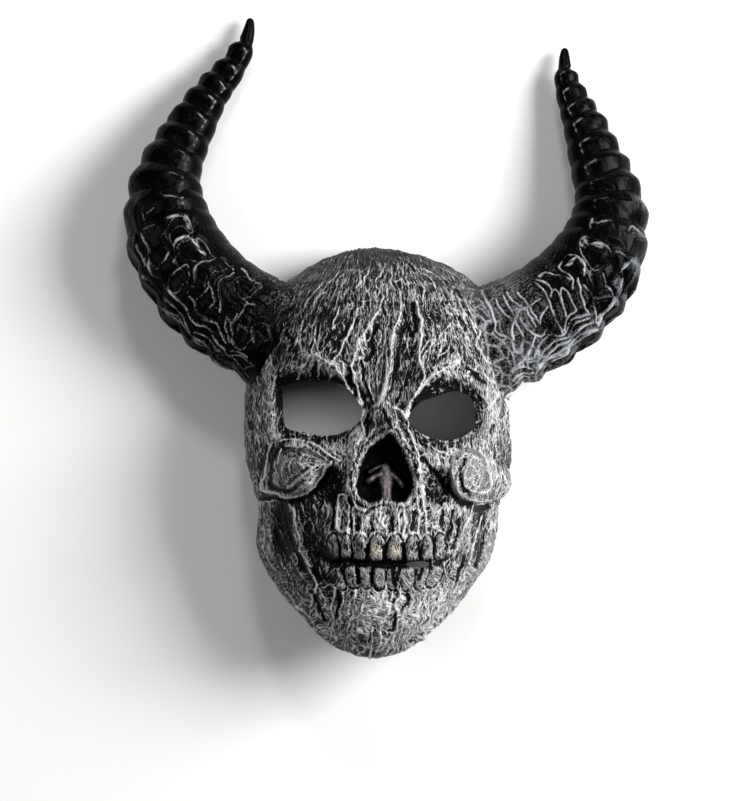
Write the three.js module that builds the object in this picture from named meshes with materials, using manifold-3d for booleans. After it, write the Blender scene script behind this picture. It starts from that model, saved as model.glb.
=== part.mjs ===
// A horned skull mask of moulded latex, lying on its back with the face up.
// Millimetres. +X is to the viewer's right, +Y towards the crown, +Z out of the face.
// The face is a hollow shell open at the back, and each horn is a casting bonded to a temple.
import * as THREE from "three";
import { mergeVertices } from "three/addons/utils/BufferGeometryUtils.js";
import Module from "manifold-3d";

const wasm = await Module();
wasm.setup();

// Driving dimensions of the face. The rim of the open back lies flat, but rises under the chin, and the
// walls draw in a little just above it. The carving dies away over some height above the rim. The
// lower the ring spread, the more of the facets lie in front.
const FACE_HEIGHT = 253.4;
const FACE_DEPTH = 104;
const FACE_AXIS = { x: -7, y: -71.6 };
const DOME_POWER = 2.35;
const SKIN = 3.2;
const CHIN_RIM = { height: 42, from: 0.62, to: 0.97 };
const RIM_PINCH = { height: 26, share: 0.05 };
const CARVING_FADE = 22;
const RING_SPREAD = 0.74;

// Breadth of the face either side of its axis at a share of the way from its middle up to the crown, or
// down to the chin. Each is the radius that a round outline would need to have that breadth there.
const BREADTHS = [
  { up: -1, left: 86, right: 58 },
  { up: -0.85, left: 75.5, right: 73 },
  { up: -0.65, left: 80, right: 79.5 },
  { up: -0.48, left: 82, right: 83.5 },
  { up: -0.25, left: 74.5, right: 80 },
  { up: -0.05, left: 79, right: 84.5 },
  { up: 0.18, left: 82, right: 84.5 },
  { up: 0.45, left: 86, right: 94 },
  { up: 0.8, left: 96, right: 111 },
  { up: 0.93, left: 94, right: 110 },
  { up: 1, left: 85, right: 92 },
];

// How finely each surface may be split, in cells across (a power of two), and how far a facet may lie
// from the true surface before it is split
const FACE_FACETS = { cells: 256, tolerance: 0.9 };
const INSIDE_FACETS = { cells: 64, tolerance: 1.4 };
const BED_FACETS = { cells: 128, tolerance: 0.8 };

// Openings cut through the shell, as smooth outlines
const EYE_LEFT = [
  [-62.2, -30.8], [-49.4, -28.4], [-31.7, -28.4], [-23.8, -32], [-14.6, -45.4],
  [-17.1, -53.4], [-32.3, -60.7], [-52.5, -58.3], [-61, -55.8], [-62.5, -42.4],
];
const EYE_RIGHT = [
  [13.4, -50.3], [19.5, -41.8], [32.9, -36.3], [42.1, -33.9], [51.2, -37.5], [54, -44.2],
  [53.7, -55.8], [46.4, -61.9], [32.9, -63.7], [22, -60.1], [15.3, -55.2],
];
const MOUTH_SLIT = { x: 19.8, y: -139, length: 16, height: 4 };

// The pear-shaped nose cavity with its raised rim, and the septum that stands in it
const NOSE = [
  [2.2, -59.2], [-4.9, -63.7], [-12.2, -70.5], [-15.6, -78.4], [-17.7, -88], [-16.5, -97.5], [-9.5, -101.5],
  [-2, -99.5], [5.5, -101.2], [12, -100.4], [16.2, -94], [15.8, -84], [12.2, -74.4], [8.1, -66.5],
];
const NOSE_DEPTH = 15;
const NOSE_RIM = { height: 2.6, width: 2.4, away: 2.6 };
const SEPTUM = { top: -76, bottom: -108, x: -0.9, lean: 1.6, neck: 3, height: 11 };
const SEPTUM_WING = { width: 6.4, at: 0.2, spread: 0.22 };

// Sunken rings round the eyes
const SOCKET = { reach: 10, depth: 9 };

// Ridges that stand proud, each a line with its height and half-width
const RIDGES = [
  // brows, falling to the root of the nose
  { line: [[-47, -12.5], [-32, -20], [-24.6, -30.7], [-14, -46]], height: 5.5, width: 4 },
  { line: [[41, -16.5], [24.8, -26.4], [18.3, -38], [11.9, -48.5]], height: 5.5, width: 4 },
  // the folds of the forehead, gathered towards the nose
  { line: [[-5.5, 15.5], [-9.8, 8], [-16, -3.8], [-22.6, -18.9]], height: 2.4, width: 2.6 },
  { line: [[-22.6, -18.9], [-18.3, -29.6], [-15, -41]], height: 2, width: 2.4 },
  { line: [[7.6, 12.3], [4.3, 1.5], [2.6, -9.2], [1, -26.5], [-3, -38]], height: 3.2, width: 2.8 },
  { line: [[16.2, 25.3], [21.5, 9], [20.4, -9.2], [21.6, -19]], height: 2.4, width: 2.6 },
  { line: [[22.6, -19.8], [18.3, -30.7], [12.8, -43.6]], height: 2.2, width: 2.4 },
  // the bridge of the nose, and the edges of the bone beside it
  { line: [[-1, -44], [2, -56]], height: 7, width: 6.5 },
  { line: [[-14, -50], [-19, -62], [-21.5, -80], [-20.5, -96]], height: 3, width: 3 },
  { line: [[11.5, -50], [15.5, -62], [20.5, -80], [20, -96]], height: 3, width: 3 },
  // the edges where the jaw meets the upper lip
  { line: [[-60, -101.3], [-55.7, -111], [-52.5, -123.9], [-46, -140]], height: 3.4, width: 2.8 },
  { line: [[54, -104], [49.4, -115.3], [39.6, -130.3], [29, -138]], height: 3.4, width: 2.8 },
  // the outer rims of the eyes
  { line: [[-72, -14], [-70, -40], [-69, -60]], height: 3, width: 4.5 },
  { line: [[62, -18], [63, -42], [62, -60]], height: 3, width: 4.5 },
];

// Rounded swellings, each an ellipse with its height; the higher the power, the flatter its top
const SWELLINGS = [
  { x: -57.4, y: -81.4, rx: 23, ry: 19.5, height: 8.5, power: 5 },
  { x: 55.2, y: -83.1, rx: 20.5, ry: 18.5, height: 8.5, power: 5 },
  { x: -1.8, y: -122, rx: 46, ry: 34, height: 8, power: 2 },
  { x: -3, y: -176, rx: 32, ry: 22, height: 6, power: 2 },
  { x: -36, y: -8, rx: 32, ry: 20, height: 5, power: 2 },
  { x: 32, y: -10, rx: 32, ry: 20, height: 5, power: 2 },
];

// Hollows, each a soft-edged pit with its depth
const HOLLOWS = [
  { x: -35, y: -91, rx: 12, ry: 15, depth: 10 },
  { x: 32, y: -92, rx: 11, ry: 14, depth: 10 },
  { x: -62, y: -120, rx: 10, ry: 24, depth: 8 },
  { x: 57, y: -120, rx: 9, ry: 22, depth: 7 },
  { x: 13, y: -8, rx: 6, ry: 20, depth: 3.5 },
  { x: -9.5, y: -10, rx: 5.5, ry: 16, depth: 2.5 },
  { x: -42, y: -24, rx: 20, ry: 9, depth: 3 },
];
const MOUTH = {
  line: [[-40, -133], [-29.9, -137.2], [-1.8, -138.6], [28, -138.8], [38, -135]],
  gap: { width: 2.4, depth: 4 },
  bed: { width: 14.5, depth: 2.8 },
};

// Teeth, worked out from the midline outwards, and the flutes over their roots
const TOOTH_MIDLINE = 0.2;
const UPPER_TEETH = { pitch: [10.8, 10.2, 9, 7.6], y: -129.8, height: 15.4, proud: 5.2, lean: 0 };
const LOWER_TEETH = { pitch: [8.6, 8.4, 8.2, 8], y: -146.6, height: 13.4, proud: 4.2, lean: 0.12 };
const TOOTH_GAP = 0.7;
const TOOTH_ROOT = 4;
const TOOTH_CELLS = { across: 2, along: 3 };
const TOOTH_FORM = { waist: 0.18, taper: 0.1, roundEnds: 0.12, crown: 0.45, drop: 0.5 };
const TOOTH_SEAT = 4;
const FLUTES = { top: -106, bottom: -121, height: 1.8, width: 2.8 };

// Horns: the centre line from inside the temple to the tip, with the thickness seen from the front there
const HORN_LEFT = {
  path: [
    [-50, -11, 35, 64], [-72, 0.4, 35.5, 66], [-87.6, 10.2, 36, 65], [-104.2, 21.8, 36.5, 64],
    [-117, 35.8, 36.5, 62], [-128, 53, 35.5, 59], [-134.4, 74.1, 33, 53.5], [-134.8, 90, 30, 47],
    [-131.5, 103.4, 27, 40], [-125.1, 118, 24, 35], [-117.1, 132.7, 20.5, 30], [-108.6, 147.3, 17, 25],
    [-96.7, 162, 13.5, 19.5], [-88.1, 176.6, 10.6, 15], [-86.1, 181, 9.9, 10.2], [-84.2, 188, 8.8, 7.8],
    [-83.2, 195.4, 8, 4.4],
  ],
  notches: [
    0.12, 0.19, 0.255, 0.324, 0.392, 0.453, 0.512, 0.571, 0.63, 0.679, 0.736, 0.788, 0.83, 0.883, 0.937,
  ],
};
const HORN_RIGHT = {
  path: [
    [47, -13.4, 35, 65], [69.8, -1.4, 35.5, 67], [87, 7.1, 36, 66], [103.6, 17.5, 36.5, 64.5],
    [118.8, 31.6, 36.5, 62], [129.1, 47.1, 35.5, 57.5], [134.8, 62, 33.5, 52], [137, 76, 31, 47],
    [135.4, 88.8, 28, 42], [130.5, 103.4, 25, 37], [125.7, 118, 21.5, 32], [120.2, 132.7, 18, 26],
    [113.8, 147.3, 14.5, 19.5], [110.4, 160, 11.9, 14.5], [110, 165, 10.8, 9.2], [109.8, 171, 9.8, 7.2],
    [109.9, 177, 8.8, 4.2],
  ],
  notches: [
    0.11, 0.18, 0.254, 0.328, 0.395, 0.459, 0.518, 0.575, 0.632, 0.69, 0.752, 0.806, 0.85, 0.9, 0.943,
  ],
};
// Each horn is a little flatter than round. Its notches stand at shares of its length. Each ring rises in
// steps from a notch, which is deeper on the outer side, and leans forwards over the horn's front.
const HORN_FLATTENING = 0.86;
const HORN_SIDES = 15;
const RING_STEPS = [
  { at: 0, rise: 0 },
  { at: 0.24, rise: 0.95 },
  { at: 0.74, rise: 1 },
];
const RING_NOTCH = { least: 1.8, share: 0.06, most: 0.4, innerShare: 0.45 };
const RING_LEAN = 0.22;
const SMOOTH_RISE = 0.7;

// The thickness of the bond between horn and face
const BOND_GAP = 0.35;

function smoothstep(from, to, value) {
  return THREE.MathUtils.smoothstep(value, from, to);
}

// A smooth curve through the stations of a table, read at a value of the table's first column
function readTable(table, by, column, value) {
  let i = 1;
  while (i < table.length - 1 && value > table[i][by]) i++;
  const slope = (k) => {
    const before = table[Math.max(0, k - 1)];
    const after = table[Math.min(table.length - 1, k + 1)];
    return (after[column] - before[column]) / (after[by] - before[by]);
  };
  const [from, to] = [table[i - 1], table[i]];
  const span = to[by] - from[by];
  const t = THREE.MathUtils.clamp((value - from[by]) / span, 0, 1);
  const blend = t * t * (3 - 2 * t);
  const bend = t * (1 - t) * ((1 - t) * slope(i - 1) - t * slope(i)) * span;
  return from[column] * (1 - blend) + to[column] * blend + bend;
}

// A closed smooth outline through the points, as a list of [x, y]
function smoothOutline(points, steps) {
  const curve = new THREE.CatmullRomCurve3(
    points.map(([x, y]) => new THREE.Vector3(x, y, 0)),
    true,
    "centripetal",
  );
  return curve.getPoints(steps).slice(0, -1).map((p) => [p.x, p.y]);
}

const NOSE_OUTLINE = smoothOutline(NOSE, 56);
const EYE_OUTLINES = [smoothOutline(EYE_LEFT, 36), smoothOutline(EYE_RIGHT, 36)];

function distanceToSegment(x, y, [ax, ay], [bx, by]) {
  const dx = bx - ax;
  const dy = by - ay;
  const t = THREE.MathUtils.clamp(((x - ax) * dx + (y - ay) * dy) / (dx * dx + dy * dy), 0, 1);
  return Math.hypot(x - ax - t * dx, y - ay - t * dy);
}

function distanceToLine(x, y, line) {
  let nearest = Infinity;
  for (let i = 1; i < line.length; i++) {
    nearest = Math.min(nearest, distanceToSegment(x, y, line[i - 1], line[i]));
  }
  return nearest;
}

// The distance to a closed outline, negative inside it
function distanceToOutline(x, y, outline) {
  let inside = false;
  let nearest = Infinity;
  for (let i = 0, j = outline.length - 1; i < outline.length; j = i++) {
    const [ax, ay] = outline[j];
    const [bx, by] = outline[i];
    nearest = Math.min(nearest, distanceToSegment(x, y, outline[j], outline[i]));
    if (ay > y !== by > y && x < ((bx - ax) * (y - ay)) / (by - ay) + ax) inside = !inside;
  }
  return inside ? -nearest : nearest;
}

function toothPlaces(row) {
  const places = [];
  for (const side of [-1, 1]) {
    let edge = 0;
    for (const pitch of row.pitch) {
      places.push({ x: TOOTH_MIDLINE + side * (edge + pitch / 2), width: pitch - TOOTH_GAP, side });
      edge += pitch;
    }
  }
  return places;
}

const FLUTE_LINES = toothPlaces(UPPER_TEETH).map(({ x }) => [[x * 0.9, FLUTES.top], [x, FLUTES.bottom]]);

// How far the face sinks at a point seen from the front. Each hollow is grown by the margin, so that
// the inside of the shell follows it at a distance.
function sunk(x, y, margin) {
  let depth = 0;
  for (const hollow of HOLLOWS) {
    const away = Math.hypot((x - hollow.x) / (hollow.rx + margin), (y - hollow.y) / (hollow.ry + margin));
    if (away < 1) depth += hollow.depth * (1 - away * away) ** 1.5;
  }
  for (const outline of EYE_OUTLINES) {
    const away = distanceToOutline(x, y, outline) - margin;
    depth = Math.max(depth, SOCKET.depth * (1 - smoothstep(0, SOCKET.reach, away)));
  }
  const intoNose = margin - distanceToOutline(x, y, NOSE_OUTLINE);
  depth = Math.max(depth, NOSE_DEPTH * smoothstep(-0.5, 4, intoNose));
  const offMouth = distanceToLine(x, y, MOUTH.line);
  depth += MOUTH.gap.depth * Math.exp(-((offMouth / (MOUTH.gap.width + margin)) ** 2));
  return depth + MOUTH.bed.depth * Math.exp(-((offMouth / (MOUTH.bed.width + margin)) ** 6));
}

// The septum: a blade with two wings at the top, drawn in to a neck below
function septumHeight(x, y) {
  const down = (SEPTUM.top - y) / (SEPTUM.top - SEPTUM.bottom);
  const winged = Math.exp(-(((down - SEPTUM_WING.at) / SEPTUM_WING.spread) ** 2));
  const halfWidth = SEPTUM.neck + (SEPTUM_WING.width - SEPTUM.neck) * winged;
  const across = Math.abs(x - (SEPTUM.x + SEPTUM.lean * down)) / halfWidth;
  return SEPTUM.height * Math.exp(-(across ** 4)) * smoothstep(-0.05, 0.2, down) * (0.75 + 0.25 * down);
}

// How far the face stands proud at a point seen from the front
function proud(x, y) {
  let height = 0;
  for (const swelling of SWELLINGS) {
    const away = Math.hypot((x - swelling.x) / swelling.rx, (y - swelling.y) / swelling.ry);
    if (away < 1) height += swelling.height * (1 - away ** swelling.power);
  }
  for (const ridge of RIDGES) {
    const away = distanceToLine(x, y, ridge.line) / ridge.width;
    height += ridge.height * Math.exp(-away * away);
  }
  for (const line of FLUTE_LINES) {
    const away = distanceToLine(x, y, line) / FLUTES.width;
    height += FLUTES.height * Math.exp(-away * away);
  }
  const outOfNose = distanceToOutline(x, y, NOSE_OUTLINE);
  const rim = (outOfNose - NOSE_RIM.away) / NOSE_RIM.width;
  height += NOSE_RIM.height * Math.exp(-rim * rim);
  return height * smoothstep(-3, 0.5, outOfNose) + septumHeight(x, y) * (1 - smoothstep(-3, 1, outOfNose));
}

// A square grid position, each way from -1 to 1, moved into the unit disc ring by ring
function squareToDisc(u, v) {
  const ring = Math.max(Math.abs(u), Math.abs(v));
  if (ring < 1e-9) return [0, 0];
  const sideways = Math.abs(u) > Math.abs(v);
  const turn = sideways ? (Math.PI / 4) * (v / u) : Math.PI / 2 - (Math.PI / 4) * (u / v);
  const side = (sideways ? u : v) < 0 ? -1 : 1;
  return [side * ring * Math.cos(turn), side * ring * Math.sin(turn)];
}

// How far out from the middle of the face a ring of the disc lies; the front has more rings than the walls
function reachOfRing(ring) {
  return Math.sin((Math.PI / 2) * (RING_SPREAD * ring + (1 - RING_SPREAD) * ring ** 3));
}

function rimHeight(towardsChin) {
  return CHIN_RIM.height * smoothstep(CHIN_RIM.from, CHIN_RIM.to, towardsChin);
}

// The profile of the dome: the share of its depth that it still has at a distance from the middle
function riseAt(reach) {
  return (1 - Math.min(1, reach) ** DOME_POWER) ** (1 / DOME_POWER);
}

// The plain dome of the face at a place in the unit disc, with the rim at the disc's edge
function domePoint(p, q) {
  const ring = Math.min(1, Math.max(1e-9, Math.hypot(p, q)));
  const reach = reachOfRing(ring);
  const across = (reach * p) / ring;
  const up = (reach * q) / ring;
  const breadth = (side) => readTable(BREADTHS, "up", side, up);
  const even = smoothstep(-0.25, 0.25, across);
  const halfBreadth = breadth("left") * (1 - even) + breadth("right") * even;
  const rim = rimHeight(-q / ring);
  const z = rim + (FACE_DEPTH - rim) * riseAt(reach);
  const pinch = 1 - RIM_PINCH.share * (1 - Math.min(1, (z - rim) / RIM_PINCH.height)) ** 2;
  return new THREE.Vector3(
    FACE_AXIS.x + halfBreadth * across * pinch,
    FACE_AXIS.y + (FACE_HEIGHT / 2) * up * pinch,
    z,
  );
}

function domeNormal(p, q) {
  const step = 1e-3;
  const inner = 1 - 3 * step;
  const at = (dp, dq) => domePoint(p * inner + dp, q * inner + dq);
  const across = at(step, 0).sub(at(-step, 0));
  const along = at(0, step).sub(at(0, -step));
  return across.cross(along).normalize();
}

// The way that carving moves a point: straight out in front, and square to the wall at the sides
function carvingDirection(normal) {
  return normal.clone().lerp(new THREE.Vector3(0, 0, 1), smoothstep(0.15, 0.5, normal.z)).normalize();
}

// The carving dies away near the rim
function carvingShare(p, q, z) {
  const ring = Math.max(1e-9, Math.hypot(p, q));
  return smoothstep(0, CARVING_FADE, z - rimHeight(-q / ring));
}

function outerPoint(p, q, inflate) {
  const point = domePoint(p, q);
  const normal = domeNormal(p, q);
  const relief = (proud(point.x, point.y) - sunk(point.x, point.y, 0)) * carvingShare(p, q, point.z);
  return point.addScaledVector(carvingDirection(normal), relief).addScaledVector(normal, inflate);
}

function innerPoint(p, q) {
  const point = domePoint(p, q);
  const normal = domeNormal(p, q);
  const relief = -sunk(point.x, point.y, SKIN) * carvingShare(p, q, point.z);
  return point.addScaledVector(carvingDirection(normal), relief).addScaledVector(normal, -SKIN);
}

// A surface over the square grid, split into facets only where it bends. The error of each facet is kept
// at the middle of its longest side, so that neighbours split together and the surface stays closed.
class FacetedSurface {
  constructor({ cells, tolerance }, surfacePoint) {
    this.cells = cells;
    this.tolerance = tolerance;
    this.points = [];
    for (let j = 0; j <= cells; j++) {
      for (let i = 0; i <= cells; i++) {
        this.points.push(surfacePoint(...squareToDisc((2 * i) / cells - 1, (2 * j) / cells - 1)));
      }
    }
    this.errors = new Float64Array(this.points.length);
    for (let step = 2; step <= cells; step *= 2) this.measure(step);
  }

  index(i, j) {
    return j * (this.cells + 1) + i;
  }

  errorAt(i, j) {
    const outside = i < 0 || j < 0 || i > this.cells || j > this.cells;
    return outside ? 0 : this.errors[this.index(i, j)];
  }

  pointNear(i, j) {
    const within = (k) => THREE.MathUtils.clamp(k, 0, this.cells);
    return this.points[this.index(within(i), within(j))];
  }

  // Records how far the point between two others stands off the straight line that joins them. The side
  // walls are smoother than the front, so half as much is made of it there.
  record(i, j, di, dj, reach) {
    const from = this.points[this.index(i - di, j - dj)];
    const to = this.points[this.index(i + di, j + dj)];
    const across = this.pointNear(i + 1, j).clone().sub(this.pointNear(i - 1, j));
    const along = this.pointNear(i, j + 1).clone().sub(this.pointNear(i, j - 1));
    const normal = across.cross(along).normalize();
    const stray = from.clone().add(to).multiplyScalar(0.5).sub(this.points[this.index(i, j)]);
    const below = reach.map(([ri, rj]) => this.errorAt(i + ri, j + rj));
    const weight = 0.5 + 0.5 * Math.abs(normal.z);
    this.errors[this.index(i, j)] = Math.max(Math.abs(stray.dot(normal)) * weight, ...below);
  }

  measure(step) {
    const half = step / 2;
    const quarter = step / 4;
    const diagonals = [[quarter, quarter], [quarter, -quarter], [-quarter, quarter], [-quarter, -quarter]];
    const aslant = quarter < 1 ? [] : diagonals;
    const straight = [[half, 0], [-half, 0], [0, half], [0, -half]];
    for (let j = 0; j <= this.cells; j += step) {
      for (let i = half; i < this.cells; i += step) {
        this.record(i, j, half, 0, aslant);
        this.record(j, i, 0, half, aslant);
      }
    }
    for (let j = half; j < this.cells; j += step) {
      for (let i = half; i < this.cells; i += step) {
        const falling = ((i - half) / step + (j - half) / step) % 2 === 1;
        this.record(i, j, half, falling ? -half : half, straight);
      }
    }
  }

  // Splits a facet, given by the ends of its longest side and its square corner, until it is near enough
  split(a, b, corner, facets) {
    const [mi, mj] = [(a[0] + b[0]) / 2, (a[1] + b[1]) / 2];
    const splittable = Number.isInteger(mi) && Number.isInteger(mj);
    if (splittable && this.errorAt(mi, mj) > this.tolerance) {
      this.split(corner, a, [mi, mj], facets);
      this.split(b, corner, [mi, mj], facets);
    } else {
      facets.push([a, b, corner]);
    }
  }

  facets() {
    const n = this.cells;
    const facets = [];
    this.split([0, 0], [n, n], [n, 0], facets);
    this.split([n, n], [0, 0], [0, n], facets);
    return facets;
  }
}

// A closed form under a surface: its edge drops straight down by some distance, and a shallow cone closes it
function formUnder(fineness, surfacePoint, drop) {
  const surface = new FacetedSurface(fineness, surfacePoint);
  const places = [];
  const numbers = new Map();
  const numberOf = (key, point) => {
    if (!numbers.has(key)) {
      numbers.set(key, places.length / 3);
      places.push(point.x, point.y, point.z);
    }
    return numbers.get(key);
  };
  const onTop = ([i, j]) => numberOf(`top ${i} ${j}`, surface.points[surface.index(i, j)]);
  const below = ([i, j]) => {
    const edge = surface.points[surface.index(i, j)];
    return numberOf(`low ${i} ${j}`, new THREE.Vector3(edge.x, edge.y, edge.z - drop));
  };
  const hub = numberOf("hub", new THREE.Vector3(FACE_AXIS.x, FACE_AXIS.y, -drop));
  const onEdge = ([ai, aj], [bi, bj]) => {
    return (ai === bi && ai % surface.cells === 0) || (aj === bj && aj % surface.cells === 0);
  };
  const triangles = [];
  for (const corners of surface.facets()) {
    triangles.push(...corners.map(onTop));
    corners.forEach((a, k) => {
      const b = corners[(k + 1) % 3];
      if (!onEdge(a, b)) return;
      if (drop > 0) {
        triangles.push(onTop(b), onTop(a), below(a), onTop(b), below(a), below(b));
        triangles.push(below(b), below(a), hub);
      } else {
        triangles.push(onTop(b), onTop(a), hub);
      }
    });
  }
  const form = new THREE.BufferGeometry();
  form.setAttribute("position", new THREE.Float32BufferAttribute(places, 3));
  form.setIndex(triangles);
  return facingOut(solidFrom(form));
}

function solidFrom(geometry) {
  return new wasm.Manifold(
    new wasm.Mesh({
      numProp: 3,
      vertProperties: new Float32Array(geometry.attributes.position.array),
      triVerts: new Uint32Array(geometry.index.array),
    }),
  );
}

function geometryFrom(solid) {
  const { vertProperties, triVerts } = solid.getMesh();
  const geometry = new THREE.BufferGeometry();
  geometry.setAttribute("position", new THREE.BufferAttribute(new Float32Array(vertProperties), 3));
  geometry.setIndex(new THREE.BufferAttribute(new Uint32Array(triVerts), 1));
  geometry.computeVertexNormals();
  return geometry;
}

// A straight cutter along Z, with the outline given
function cutter(outline) {
  const shape = new THREE.Shape(outline.map(([x, y]) => new THREE.Vector2(x, y)));
  const prism = new THREE.ExtrudeGeometry(shape, { depth: 2 * FACE_DEPTH, bevelEnabled: false });
  prism.deleteAttribute("normal");
  prism.deleteAttribute("uv");
  return solidFrom(mergeVertices(prism, 1e-4));
}

function slitOutline({ x, y, length, height }) {
  const outline = [];
  const corners = 12;
  for (let i = 0; i < corners; i++) {
    const turn = (i / corners) * 2 * Math.PI;
    outline.push([x + (length / 2) * Math.cos(turn), y + (height / 2) * Math.sin(turn)]);
  }
  return outline;
}

// The height of the carved face at a place seen from the front
function faceHeight(x, y) {
  const up = (y - FACE_AXIS.y) / (FACE_HEIGHT / 2);
  const side = x < FACE_AXIS.x ? "left" : "right";
  const across = (x - FACE_AXIS.x) / readTable(BREADTHS, "up", side, up);
  const reach = Math.min(1, Math.hypot(across, up));
  const rim = rimHeight(-up / reach);
  return rim + (FACE_DEPTH - rim) * riseAt(reach) + proud(x, y) - sunk(x, y, 0);
}

// One tooth: a cushion rooted in the face and square to it, narrower at the gum
function tooth({ x, width, side }, row, place) {
  const block = new THREE.BoxGeometry(2, 2, 1, TOOTH_CELLS.across, TOOTH_CELLS.along, 1);
  block.deleteAttribute("normal");
  block.deleteAttribute("uv");
  const form = mergeVertices(block, 1e-6);
  const corner = form.attributes.position;
  for (let i = 0; i < corner.count; i++) {
    const [u, v] = [corner.getX(i), corner.getY(i)];
    const narrowing = 1 - TOOTH_FORM.waist * v * v - TOOTH_FORM.taper * v;
    const across = (width / 2) * u * narrowing;
    const along = (row.height / 2) * v * (1 - TOOTH_FORM.roundEnds * u * u);
    const top = row.proud * (1 - TOOTH_FORM.crown * u * u) * (1 - TOOTH_FORM.drop * v ** 4);
    corner.setXYZ(i, across, along, corner.getZ(i) > 0 ? top : -TOOTH_ROOT);
  }
  const fall = (dx, dy) => faceHeight(x - dx, row.y - dy) - faceHeight(x + dx, row.y + dy);
  const normal = new THREE.Vector3(fall(TOOTH_SEAT, 0), fall(0, TOOTH_SEAT), 2 * TOOTH_SEAT).normalize();
  const turn = new THREE.Quaternion().setFromUnitVectors(new THREE.Vector3(0, 0, 1), normal);
  form.rotateZ(-side * row.lean * place);
  form.applyQuaternion(turn);
  form.translate(x, row.y, faceHeight(x, row.y));
  return solidFrom(form);
}

function teethOf(row) {
  return toothPlaces(row).map((place, i) => tooth(place, row, i % row.pitch.length));
}

function maskFace() {
  let face = formUnder(FACE_FACETS, (p, q) => outerPoint(p, q, 0), 0);
  for (const one of [...teethOf(UPPER_TEETH), ...teethOf(LOWER_TEETH)]) face = face.add(one);
  face = face.subtract(formUnder(INSIDE_FACETS, innerPoint, 6));
  for (const outline of [...EYE_OUTLINES, slitOutline(MOUTH_SLIT)]) face = face.subtract(cutter(outline));
  return face;
}

// The thickness of a horn at stations along it, each at its share of the length
function thicknessTable(path) {
  let length = 0;
  const table = path.map(([x, y, z, thickness], i) => {
    const [lastX, lastY, lastZ] = path[Math.max(0, i - 1)];
    length += Math.hypot(x - lastX, y - lastY, z - lastZ);
    return { share: length, thickness };
  });
  for (const station of table) station.share /= length;
  return table;
}

// The cross-sections of a horn, each with how high its rings stand there, from 0 to 1
function hornSections(notches) {
  const sections = [{ share: 0, rise: SMOOTH_RISE }, { share: notches[0] / 2, rise: SMOOTH_RISE }];
  for (const [k, start] of notches.slice(0, -1).entries()) {
    for (const { at, rise } of RING_STEPS) {
      sections.push({ share: start + (notches[k + 1] - start) * at, rise });
    }
  }
  const last = notches.at(-1);
  sections.push({ share: last, rise: RING_STEPS[0].rise });
  for (const share of [(last + 1) / 2, 1]) sections.push({ share, rise: SMOOTH_RISE });
  return sections;
}

// A horn as a closed tube swept along its path, thick at the temple and drawn to a blunt tip
function hornForm({ path, notches }) {
  const line = new THREE.CatmullRomCurve3(
    path.map(([x, y, z]) => new THREE.Vector3(x, y, z)),
    false,
    "centripetal",
  );
  const table = thicknessTable(path);
  const sections = hornSections(notches);
  const tube = new THREE.CylinderGeometry(1, 1, 1, HORN_SIDES, sections.length - 1, false);
  tube.deleteAttribute("normal");
  tube.deleteAttribute("uv");
  const form = mergeVertices(tube, 1e-6);
  const place = form.attributes.position;
  const handed = Math.sign(path[0][0]);
  for (let i = 0; i < place.count; i++) {
    const { share, rise } = sections[Math.round((0.5 - place.getY(i)) * (sections.length - 1))];
    const half = readTable(table, "share", "thickness", share) / 2;
    const tangent = line.getTangentAt(share);
    const outwards = new THREE.Vector3(tangent.y, -tangent.x, 0).normalize().multiplyScalar(handed);
    const forwards = tangent.clone().cross(outwards).normalize().multiplyScalar(-handed);
    const [onOuterSide, onFront] = [place.getX(i), place.getZ(i)];
    const notchShare = RING_NOTCH.innerShare + (1 - RING_NOTCH.innerShare) * (0.5 + 0.5 * onOuterSide);
    const notch = Math.min(half * RING_NOTCH.most, (RING_NOTCH.least + RING_NOTCH.share * half) * notchShare);
    const radius = half - notch * (1 - rise);
    const point = line.getPointAt(share);
    point.addScaledVector(outwards, radius * onOuterSide);
    point.addScaledVector(forwards, radius * HORN_FLATTENING * onFront);
    point.addScaledVector(tangent, radius * RING_LEAN * onFront * smoothstep(0, 0.1, 1 - share));
    place.setXYZ(i, point.x, point.y, point.z);
  }
  return facingOut(solidFrom(form));
}

// A solid with its faces turned outwards
function facingOut(solid) {
  if (solid.volume() > 0) return solid;
  const { vertProperties, triVerts } = solid.getMesh();
  const turned = new Uint32Array(triVerts);
  for (let i = 0; i < turned.length; i += 3) {
    [turned[i + 1], turned[i + 2]] = [turned[i + 2], turned[i + 1]];
  }
  return new wasm.Manifold(new wasm.Mesh({ numProp: 3, vertProperties, triVerts: turned }));
}

// The horns end at the skin of the face, with the thickness of the bond between
const bed = formUnder(BED_FACETS, (p, q) => outerPoint(p, q, BOND_GAP + BED_FACETS.tolerance), 40);

// Drybrushed black latex, and the darker, slightly glossy horns
const maskLatex = new THREE.MeshStandardMaterial({ color: 0x8b8a88, roughness: 0.75, metalness: 0 });
const hornLatex = new THREE.MeshStandardMaterial({ color: 0x17181b, roughness: 0.4, metalness: 0 });

function named(name, solid, material) {
  const mesh = new THREE.Mesh(geometryFrom(solid), material);
  mesh.name = name;
  return mesh;
}

const mask = new THREE.Group();
mask.add(named("mask_face", maskFace(), maskLatex));
mask.add(named("horn_left", hornForm(HORN_LEFT).subtract(bed), hornLatex));
mask.add(named("horn_right", hornForm(HORN_RIGHT).subtract(bed), hornLatex));

// The origin is on the floor, under the middle of the mask's outline
const extent = new THREE.Box3().setFromObject(mask);
const middle = extent.getCenter(new THREE.Vector3());
mask.position.set(-middle.x, -middle.y, -extent.min.z);

export default mask;
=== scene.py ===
"""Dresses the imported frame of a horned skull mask: a drybrushed latex face and two ringed horns.

Sizes are in millimetres until a mesh is made, and then in metres. X is to the viewer's right, Y towards
the crown and Z out of the face, as in the frame.
"""
import math
from types import SimpleNamespace

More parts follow.
